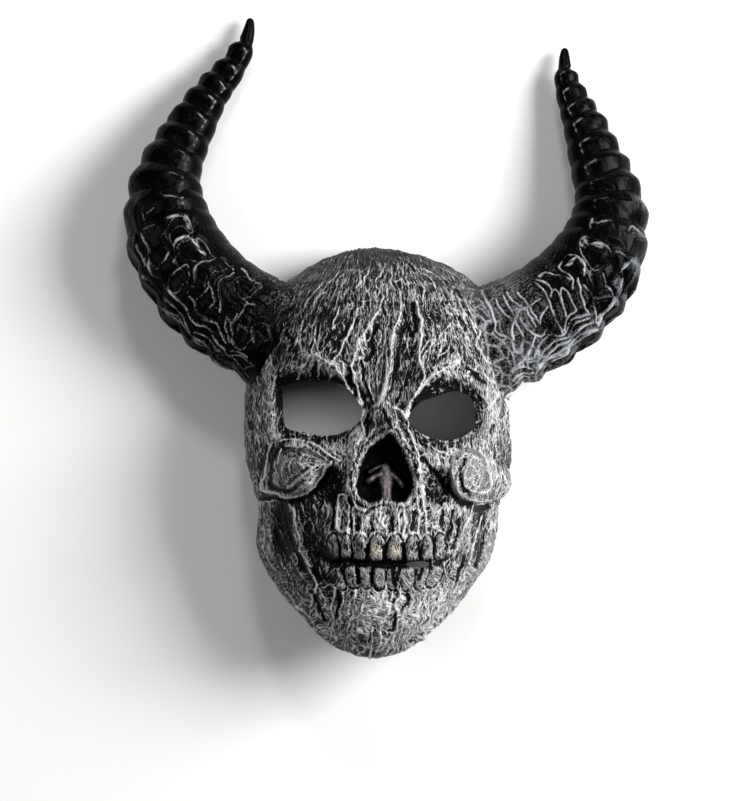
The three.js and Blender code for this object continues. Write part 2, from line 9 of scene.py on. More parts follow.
import bmesh
import bpy
import numpy as np
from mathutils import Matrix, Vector


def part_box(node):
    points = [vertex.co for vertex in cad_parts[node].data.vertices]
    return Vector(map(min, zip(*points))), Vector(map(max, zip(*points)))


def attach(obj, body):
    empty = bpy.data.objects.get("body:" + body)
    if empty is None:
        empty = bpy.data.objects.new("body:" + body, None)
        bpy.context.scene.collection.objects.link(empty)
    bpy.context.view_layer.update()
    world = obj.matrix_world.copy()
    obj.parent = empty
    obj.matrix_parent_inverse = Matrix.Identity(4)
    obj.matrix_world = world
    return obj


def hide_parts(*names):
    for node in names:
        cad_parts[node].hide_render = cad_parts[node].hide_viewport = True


bl_info = {
    "name": "Horned skull mask",
    "version": (1, 0, 0),
    "blender": (4, 5, 0),
    "location": "View3D > Sidebar > Mask",
    "description": "Makes the moulded face, the horns and the stage of a horned skull mask",
    "category": "Add Mesh",
}

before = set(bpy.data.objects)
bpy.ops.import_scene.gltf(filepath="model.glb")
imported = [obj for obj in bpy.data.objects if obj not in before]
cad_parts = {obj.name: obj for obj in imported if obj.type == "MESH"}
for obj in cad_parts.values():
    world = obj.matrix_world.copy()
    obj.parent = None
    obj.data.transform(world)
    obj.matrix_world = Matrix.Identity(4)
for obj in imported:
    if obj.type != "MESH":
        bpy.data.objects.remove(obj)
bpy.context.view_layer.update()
MM = 0.001

# The picture in pixels, where the face's axis lies in it, and millimetres a pixel at the level of the face
PICTURE = {"width": 738, "height": 801, "x": 386, "y": 335.5, "scale": 0.61}
FACE_LEVEL = 0.05
SENSOR = 36


def strokes(text):
    """Lines of points from text: commas between numbers, spaces between points, semicolons between lines."""
    return [
        [tuple(float(number) for number in point.split(",")) for point in line.split()]
        for line in text.split(";")
    ]


# The dome of the face and its open back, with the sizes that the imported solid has
FACE_HEIGHT = 253.4
FACE_DEPTH = 104
FACE_AXIS = (-7, -71.6)
DOME_POWER = 2.35
SKIN = 3.2
CHIN_RIM = {"height": 42, "start": 0.62, "end": 0.97}
RIM_PINCH = {"height": 26, "share": 0.05}
CARVING_FADE = 22
FRONT_SHARE = 0.86
UNROLLED_SHARE = 0.4
RING_SPREAD = 0.74
BREADTHS = {
    "up": [-1, -0.85, -0.65, -0.48, -0.25, -0.05, 0.18, 0.45, 0.8, 0.93, 1],
    "left": [86, 75.5, 80, 82, 74.5, 79, 82, 86, 96, 94, 85],
    "right": [58, 73, 79.5, 83.5, 80, 84.5, 84.5, 94, 111, 110, 92],
}

# Openings, as smooth closed outlines: the eye holes on the left and right, and the hollow of the nose
EYE_LEFT, EYE_RIGHT, NOSE = strokes("""
    -62.2,-30.8 -49.4,-28.4 -31.7,-28.4 -23.8,-32 -14.6,-45.4 -17.1,-53.4 -32.3,-60.7 -52.5,-58.3
    -61,-55.8 -62.5,-42.4; 13.4,-50.3 19.5,-41.8 32.9,-36.3 42.1,-33.9 51.2,-37.5 54,-44.2 53.7,-55.8
    46.4,-61.9 32.9,-63.7 22,-60.1 15.3,-55.2; 2.2,-59.2 -4.9,-63.7 -12.2,-70.5 -15.6,-78.4 -17.7,-88
    -16.5,-97.5 -9.5,-101.5 -2,-99.5 5.5,-101.2 12,-100.4 16.2,-94 15.8,-84 12.2,-74.4 8.1,-66.5
""")
MOUTH_SLIT = {"x": 19.8, "y": -139, "length": 16, "height": 4}
NOSE_DEPTH = 15
NOSE_RIM = {"height": 2.6, "width": 2.4, "away": 2.6}

# Where the nose's wall, the forms round it, the septum and the dark inside begin, from its outline
NOSE_EDGES = {"wall": (-0.5, 4), "forms": (-3, 0.5), "septum": (-3, 1), "dark": (-1.5, 0.5)}
SEPTUM = {"top": -74, "bottom": -108, "x": -0.6, "lean": 1.2, "height": 11, "rises": (-0.08, 0.25)}
SEPTUM_ROOT = 0.7
SEPTUM_WIDTHS = {
    "down": [0, 0.09, 0.18, 0.3, 0.4, 0.5, 0.6, 0.8, 1], "half": [1, 2, 3.5, 4.2, 4.9, 4.3, 3.5, 2.9, 3.2],
}
SEPTUM_WINGS = [
    ([(-2, -79), (-6, -80.5), (-10.3, -83)], 8, 1.1), ([(-2.5, -84), (-7, -86), (-11, -88.5)], 9, 2),
    ([(3, -84), (7, -87.5), (10, -91.6)], 8, 2.1),
]
SOCKET = {"reach": 10, "depth": 9}

# Main ridges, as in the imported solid: line, height and half-width
RIDGES = [
    ([(-47, -12.5), (-32, -20), (-24.6, -30.7), (-14, -46)], 5.5, 4),
    ([(41, -16.5), (24.8, -26.4), (18.3, -38), (11.9, -48.5)], 5.5, 4),
    ([(-5.5, 15.5), (-9.8, 8), (-16, -3.8), (-22.6, -18.9)], 2.4, 2.6),
    ([(-22.6, -18.9), (-18.3, -29.6), (-15, -41)], 2, 2.4),
    ([(7.6, 12.3), (4.3, 1.5), (2.6, -9.2), (1, -26.5), (-3, -38)], 3.2, 2.8),
    ([(16.2, 25.3), (21.5, 9), (20.4, -9.2), (21.6, -19)], 2.4, 2.6),
    ([(22.6, -19.8), (18.3, -30.7), (12.8, -43.6)], 2.2, 2.4),
    ([(-1, -44), (2, -56)], 7, 6.5),
    ([(-14, -50), (-19, -62), (-21.5, -80), (-20.5, -96)], 3, 3),
    ([(11.5, -50), (15.5, -62), (20.5, -80), (20, -96)], 3, 3),
    ([(-60, -101.3), (-55.7, -111), (-52.5, -123.9), (-46, -140)], 3.4, 2.8),
    ([(54, -104), (49.4, -115.3), (39.6, -130.3), (29, -138)], 3.4, 2.8),
    ([(-72, -14), (-70, -40), (-69, -60)], 3, 4.5),
    ([(62, -18), (63, -42), (62, -60)], 3, 4.5),
]

# Swellings: centre, radii, height and how flat the top is; and hollows: centre, radii and depth
SWELLINGS = [
    (-1.8, -122, 46, 34, 8, 2),
    (-3, -176, 32, 22, 6, 2),
    (-36, -8, 32, 20, 5, 2),
    (32, -10, 32, 20, 5, 2),
]
CHEEKBONES = strokes("""
    -76,-88 -74,-76.5 -68,-67.5 -58.6,-66.5 -47,-68.5 -37,-73.5 -32.5,-78 -39.5,-88 -47,-95.5 -58,-99.5
    -67,-98.5 -74.5,-95; 38.6,-83 40.7,-74.1 46.8,-69 54.6,-67 63.3,-69 71,-75 74.5,-83.7 72,-94.2
    66,-100.3 58,-102 50.3,-101.1 44.2,-98.5 39.8,-92.4
""")
CHEEKBONE = {"height": 8.5, "reach": 13, "soft_over": 10, "steep_under": -6}
HOLLOWS = [
    (-35, -91, 12, 15, 10),
    (32, -92, 11, 14, 10),
    (-62, -120, 10, 24, 8),
    (57, -120, 9, 22, 7),
    (13, -8, 6, 20, 2.2),
    (-9.5, -10, 5.5, 16, 2.5),
]
MOUTH_LINE = [(-40, -133), (-29.9, -137.2), (-1.8, -138.6), (28, -138.8), (38, -135)]
MOUTH_GAP = {"width": 2.4, "depth": 4}
MOUTH_BED = {"width": 14.5, "depth": 2.8}

# Teeth, worked out from the midline outwards, and the flutes over their roots
TOOTH_MIDLINE = 0.2
UPPER_TEETH = {
    "pitch": [11, 9.8, 7.6, 8.2], "y": -128.6, "height": 16.4, "proud": 5.2, "lean": 0, "arch": 2.1,
}
LOWER_TEETH = {
    "pitch": [8.6, 8.4, 8.2, 8], "y": -147, "height": 14.4, "proud": 2.6, "lean": 0.16, "arch": 1.2,
}
TOOTH_GAP = 0.7
TOOTH = {"corners": 4, "arched": (-0.3, 0.6), "edge": (1.02, 0.9), "fullness": 0.42, "crooked": 0.5}

# Lines round each tooth: how far out from its middle, where 1 is its edge, and half-width
TOOTH_LINES = {"rim": (0.87, 0.07), "gap": (1.04, 0.08), "gum": (1.22, 0.09)}
GUM = {"height": 0.9, "over_root": (-0.2, 0.3), "reach": 1.6}
IVORY = {"middle": (0.9, 0.2), "tip": (0.7, -0.1)}
FLUTES = {"top": -106, "bottom": -121, "height": 1.8, "width": 2.8}

# Horns, left and right: points of the centre line from inside the temple to the tip, and the thickness there
HORN_LEFT, HORN_RIGHT = strokes("""
    -50,-11,35,64 -72,0.4,35.5,66 -87.6,10.2,36,65 -104.2,21.8,36.5,64 -117,35.8,36.5,62 -128,53,35.5,59
    -134.4,74.1,33,53.5 -134.8,90,30,47 -131.5,103.4,27,40 -125.1,118,24,35 -117.1,132.7,20.5,30
    -108.6,147.3,17,25 -96.7,162,13.5,19.5 -88.1,176.6,10.6,15 -86.1,181,9.9,10.2 -84.2,188,8.8,7.8
    -83.2,195.4,8,4.4; 47,-13.4,35,65 69.8,-1.4,35.5,67 87,7.1,36,66 103.6,17.5,36.5,64.5
    118.8,31.6,36.5,62 129.1,47.1,35.5,57.5 134.8,62,33.5,52 137,76,31,47 135.4,88.8,28,42
    130.5,103.4,25,37 125.7,118,21.5,32 120.2,132.7,18,26 113.8,147.3,14.5,19.5 110.4,160,11.9,14.5
    110,165,10.8,9.2 109.8,171,9.8,7.2 109.9,177,8.8,4.2
""")

# The notches between the rings, as shares of each horn's length
LEFT_NOTCHES = [
    0.12, 0.19, 0.255, 0.324, 0.392, 0.453, 0.512, 0.571, 0.63, 0.679, 0.736, 0.788, 0.83, 0.883, 0.937,
]
RIGHT_NOTCHES = [
    0.11, 0.18, 0.254, 0.328, 0.395, 0.459, 0.518, 0.575, 0.632, 0.69, 0.752, 0.806, 0.85, 0.9, 0.943,
]
HORN_FLATTENING = 0.86
RING_NOTCH = {"least": 1.8, "share": 0.06, "most": 0.4, "inner_share": 0.45}
RING_LEAN = 0.22
RING_PEAK = 0.6
RING_SHARPNESS = 1.35
SMOOTH_RISE = 0.7
PLATE = {"width": 15, "end": 2.06, "back_end": 2.3, "arch": 0.3, "least_arch": 0.2, "fade": (0.35, -0.15)}
PLATE_BACK = -2
TIP_ROUNDING = 0.008

# The cap that closes each horn inside the wall: how far in its rings lie, and where in the wall it ends
CAP = {"rings": (0.12, 0.3, 0.5, 0.7, 0.88), "reach": 140, "halvings": 30, "wall": 0.982}
LEAVES_WALL = {"within": 0.4, "steps": 260, "wall": 0.985}

# Noise on the horns: strength, scale, and what its seed adds to the horn's own
HORN_NOISE = {
    "stagger": (0.3, 0.9, 0), "bend": (0.05, 11, 1), "wave": (0.14, 16, 2), "ripple": (0.06, 7, 3),
    "flute_shift": (1.4, 8, 4), "layer_shift": (2, 14, 5), "layer_fade": (0.4, 12, 7),
    "web_round": (3.2, 9, 9), "flute": (1, 2.6, 11), "flute_fade": (0.4, 12, 12), "swell": (0.5, 9, 13),
    "rim_x": (0.8, 5, 14), "rim_y": (0.8, 5, 15), "rim_fade": (0.42, 6, 16), "ring_end": (0.12, 1, 17),
    "web_along": (3, 8, 18), "web_fade": (0.8, 9, 19),
}

# Nets on the horns: size of their meshes, what the seed adds, and half-width and height of the strands
HORN_NETS = {
    "layers": {"mesh": (3.2, 46), "seed": 6, "half": 0.7, "height": 0.7},
    "fibres": {"mesh": (2.2, 24), "seed": 8, "half": 0.5, "height": 0.25},
    "web": {"mesh": (10, 5.5), "seed": 10, "half": 0.8, "height": 0.7},
}

# Where parts of a horn begin and end: along it in shares of its length, round it in radians, or by ring
ALONG = {"root": (0.38, 0.52), "joint": (0.12, 0.24), "dust": (0.1, 0.42), "strip": (0.1, 0.2)}
STRIP_TIP = (0.95, 0.9)
AROUND = {"rims": (-0.1, 0.2), "under": (-0.1, 0.25), "back": (-2.4, -2), "plates": (-1.9, -1.4)}
BROAD_RINGS = {"plates": (3.5, 5.5), "arches": (4, 6), "seams": (3.5, 6)}

# The plain strip on the inner side, the seams between the plates, and the painted highlights (glints) on the
# corners of the upper rings
STRIP = {"soft": 0.16, "softer": 0.3, "over": 0.3, "back": 0.2, "depth": 0.02}
STRIP_CALM = {"all": 0.25, "root": 0.4}
SEAM = {"share": 0.04, "root": 0.2, "width": 2.4, "upper": 0.85}
CORNER_GLINT = {"first_ring": 3, "away": 0.3, "half": 0.06, "turn": 1.75, "arc": 0.2}
CORNER_GLINT_TAIL = {"away": 0.36, "half": 0.12, "turn": 2.02, "arc": 0.06, "share": 0.8}
FLUTE_HEIGHT = 0.3

# How well the brush catches on each part of a horn, and what harder brushing adds on the web. The corners
# take painted glints
HORN_CATCHES = {"corners": 1.3, "layers": 0.8, "fibres": 0.2, "web": 0.16, "brushed_web": 0.26}

# The rims of the plates and layers on the front of each horn's root
LEFT_RIMS = strokes("""
    -137,60 -135,63 -133,67 -130,71 -125,72 -120,71 -118,66 -117,64; -130,55 -132,60 -130,64 -127,66
    -123,66 -119,63; -135,61 -133,58 -130,55 -131,52 -133,48 -137,44 -140,41; -117,64 -121,60 -126,54.5;
    -127,53 -122,57 -116,59.5 -112,58 -109,54 -106,50 -104,47.5; -104,47 -108,45.5 -113,44.5 -116,42
    -117,38 -117,34 -119,30 -121,26; -125,51 -122,49 -119,46 -117,45; -127,53 -126,50 -128,47 -129,44;
    -132,35 -129,38 -125,42 -121,43 -120,41; -120,38 -122,33 -125,28 -130,25 -133,29 -133,32 -132,35;
    -97,41 -101,40 -105,38 -108,34 -108,31 -106,28 -105,24 -105,20 -108,16 -111,13; -108,29 -113,24
    -116,21; -120,24 -118,21 -116,16 -113,12 -110,9.5 -105,8 -102,4; -93,38 -97,36 -101,33 -102,29
    -101.5,26 -101,20 -102,14; -91,33 -90,29 -90,25 -87,22 -84,19 -80,19; -99,46 -96,43 -93,40; -88,41
    -84,37 -80,33 -76,30 -80,27 -85,23 -88,22; -98,12 -95,8 -91,11 -88,14 -86,18 -84,19; -91,13 -95,7
    -94,1 -95,-4 -92,-8 -88,-9 -85,-5 -82,-2; -98,12 -98,6 -97,0 -96,-5; -73,7 -76,8 -80,6 -82,3 -82,0
    -81,-4; -150,62 -147,57 -145,52 -145,46 -144,40 -142,37 -138,35 -135,30 -131,25; -131,25 -127,21
    -123,17 -120,11 -116,7 -110,5 -106,0 -102,-6 -98,-9; -152,55 -149,48 -146,43; -148,36 -144,33
    -140,28 -136,22 -130,18 -125,12 -122,6 -120,2; -138,17 -132,14 -127,10 -123,5 -119,0 -113,-4
    -109,-9; -134,14 -130,11 -126,7; -98,-9 -97,-12 -93,-13 -88,-13 -84,-16 -81,-18; -112,9 -105,7
    -101,1 -98,-5; -118,2 -113,0 -108,-4 -104,-8 -101,-10; -120,0 -114,-6 -109,-9 -106,-13 -102,-18
    -98,-22 -96,-24; -97,-13 -92,-16 -88,-20 -86,-23 -84,-26; -95,-10 -89,-11 -85,-13; -86,-21 -82,-19
    -80,-18; -149,80 -149,76 -148,71; -147,75 -142,78; -148,65 -142,67
""")
RIGHT_RIMS = strokes("""
    140,51 145,50 150,46 154,43; 150,46 147,43 144,40 145,35 143,29; 132,38 134,33 137,28 139,24; 148,64
    151,67 156,62 158,60; 118,55 119,58 121,60 127,60 131,57 135,53 137,48; 121,57 127,55 131,54; 139,50
    137,47 133,44 130,41 127,39.5; 118,54 119,50 123,44 126,39.5; 105,43 108,47 112,49.5 116,48 119,44
    122,41 125,37; 105,43 107,40 111,37 114,33 114,29; 120,40 123,38 125,34 126,30 125,27; 92,36 97,38.5
    101,38 107,36 112,34; 91,34 95,33 99,31 101,28; 90,32 94,30 97,25 99,20 101,14 103,9 106,5 107,1;
    100,24 101,27 103,28 105,25 107,20 108,16 110,11; 107,21 106,26 108,29 110,28 112,23 114,19 115,15
    112,12 110,8 108,3; 117,34 118,30 119,24 121,18 124,13; 120,31 123,28 126,23 129,22 134,23 139,23.5
    141,22 142,20; 126,23 127,18 128,13 129,9 130,6; 139,23 137,19 133,13 129,9; 60,25 62,20 64,15 66,8
    66,3 69,0 73,-1; 67,22 69,17 72,13 75,11; 72,24 74,19 77,14 78,12; 74,27 77,22 81,18 85,17; 80,27
    84,22 87,18; 93,22 88,18 84,16 80,13 78,8 77,2 78,-3; 86,16 88,10 91,5; 88,17 91,11 94,6; 98,17
    94,11 94,6; 82,10 84,6 88,2 91,0 95,0 99,3; 91,0 90,-4 88,-9 86,-13 84,-15; 79,9 81,4 84,-1; 90,-14
    92,-10 95,-5 99,-1 104,0 108,1 111,5 115,9 120,12 124,13; 90,-19 94,-13 98,-8 102,-4 107,-2 111,-1
    114,3 118,8 124,11; 91,-20 96,-16 101,-10 105,-6 110,-5 113,-2 117,1 121,5 127,8; 92,-21 98,-17
    103,-12 108,-8 111,-7 115,-3 119,-1 124,2 129,4; 91,-24 97,-18 103,-14 110,-11 112,-9; 103,-18
    108,-13 113,-8 118,-4 123,0 129,4; 77,-23 80,-20 86,-20 90,-21; 77,-28 81,-25 86,-25 90,-23; 77,-31
    82,-28 88,-27; 76,-22 79,-19 84,-16 90,-14; 130,6 134,12 138,19 140,22; 125,72 124,68
""")
RIM = {"height": 0.9, "width": 0.55, "paint_width": 1.05}

# The dip beside each rim, in millimetres deep and half-widths away
RIM_DITCH = {"depth": 0.7, "away": 2.6, "width": 1.1}

# The smear on the outer shoulders of the rings: thin paint, and a painted bluish sheen
SMEAR_AND_SHEEN = {"turn": 0.55, "arc": 0.55, "share": 0.46, "length": 0.2}

# Veins and creases that stand out from the net
BOLD_VEINS = strokes("""
    -2,24.3 -3.3,19.1 -6.4,13 -9.4,6.9 -13.3,0.8 -16.8,-2.7 -18.5,-10.5 -20.3,-16.6; -20.3,-16.6
    -21.2,-20.1 -19.4,-25.3 -17.7,-32.3 -15.1,-41.9; -25.5,-17.5 -26.4,-22.7 -24.6,-28.8 -20.3,-34.9
    -15.1,-43.6; 9.3,19.1 8.5,12.1 5.8,5.2 3.2,-0.9 3.2,-7.9 3.2,-14.9 1.5,-22.7 -0.7,-28.8 -2,-35.8
    -4.2,-40.1 -7.2,-43.6; 18,20 20.6,13 21.5,6 21.1,-0.9 20.6,-7.9 19.8,-13.1 21.5,-20.1 23.3,-25.3;
    23.3,-25.3 19.8,-32.3 15.4,-40.1 11.1,-48; 41.6,-16.6 35.5,-19.2 30.2,-22.7 25,-27.1 19.8,-34
    15.4,-41 11.5,-48.8; -17.7,16.5 -19.4,9.5 -21.2,4.3 -24.6,-2.7 -29,-11.4 -32.9,-16.2; -45.5,-11.4
    -40.3,-12.7 -36,-16.6 -31.6,-18.8 -28.1,-22.7 -24.6,-28.8 -19.4,-36.6 -14.6,-44.5; -45.5,-11.4
    -48.2,-15.7 -51.6,-20.1 -54.3,-27.9; -40.3,-17.5 -41.6,-21.8 -40.3,-27.1 -36.4,-27.9 -32.5,-24.4;
    73.8,-23.6 75.1,-32.3 74.2,-41.9 72,-50.6; 5,-43.6 9.3,-46.2 11.9,-51.4 13.7,-57.5 16.3,-61.9;
    -12.5,-44.5 -14.2,-48.8 -15.1,-54.1 -14.2,-59.3 -17.7,-65.4; 64.2,14.8 65.9,6 65.5,0.8 72,-1.4;
    57.2,2.6 54.6,-6.2 59,-11.4 62.5,-17.5; -69.1,-65.4 -72.6,-75 -73.9,-86.3 -73.4,-93.3 -66.5,-96.8
    -59.5,-99; -59.5,-99 -52.5,-97.7 -45.5,-93.7 -40.3,-86.8 -36.8,-81.1 -33.4,-77.2; -60.4,-92.4
    -55.1,-89.8 -49.9,-85.5 -45.5,-81.1; -63,-68.9 -65.6,-75 -66,-77.6; -43.8,-66.3 -36.8,-70.7
    -29,-75.9; -58.6,-101.2 -56,-108.1 -54.3,-116.8 -52.5,-125.5 -50.8,-132.5 -46.4,-139.5; -28.1,-96.8
    -29.9,-102.9 -29.9,-111.6 -29,-117.7 -25.5,-118.6 -22.9,-114.2 -22.9,-104.6 -24.6,-96.8 -28.1,-96.8;
    -23.8,-90.7 -20.3,-95.9 -19.4,-101.2 -15.9,-105.5 -12.5,-107.2; -19.4,-109 -19.4,-120.3; 7.6,-107.2
    7.8,-118.6; 11.1,-106.4 11.1,-118.6 10.2,-123.8; 18.9,-99.4 19.8,-109.9 19.8,-120.3; 22.4,-98.5
    23.3,-109.9 25,-122.1; -20.3,-132.5 -20.3,-127.3 -19.4,-122.1 -15.9,-119.9 -12.5,-121.6
    -11.1,-126.4; -11.1,-126.4 -9.4,-122.1 -7.7,-119 -5,-122.5 -1.6,-126; -0.3,-125.5 2.4,-122.1
    4.5,-120.3 6.7,-122.9 9.8,-126.4; 11.1,-127.3 11.9,-122.1 15.4,-119.9 18.9,-122.5; 19.8,-123.8
    22.8,-121.2 25.4,-123.4 26.7,-127.3; -29.9,-122.1 -26.4,-124.2 -22,-124.7; 32,-127.3 27.6,-129.9
    27.6,-136; -47.3,-141.2 -43.8,-147.3 -42.1,-151.7 -44.7,-157.8 -46.4,-164.7; 11.1,-142.1 8.5,-147.3
    7.6,-154.3 10.6,-154.3; 52,-106.4 46.8,-118.6 44.2,-127.3 38.1,-136 32.8,-140.3; 52,-104.6
    57.2,-102.9 63.3,-102; 46.8,-79.4 43.3,-86.3 43.3,-92.4 47.6,-97.7 53.7,-101.2 62.5,-100.3;
    50.3,-77.6 47.6,-83.7 47.6,-89.8 52,-95.1 59,-95.9 62.5,-92.4 63.3,-86.3 60.7,-79.4; 15.4,-60.2
    17.2,-68.1 19.8,-76.8 18.9,-83.7; 58.1,-109.9 54.6,-123.8 52,-134.2 49.4,-143 45.9,-149.9;
    6.7,-168.2 5,-162.1 8,-158.6 6.7,-153.4; 0.6,-109 -2,-113.3 -0.3,-117.7 0.6,-122.1
""")
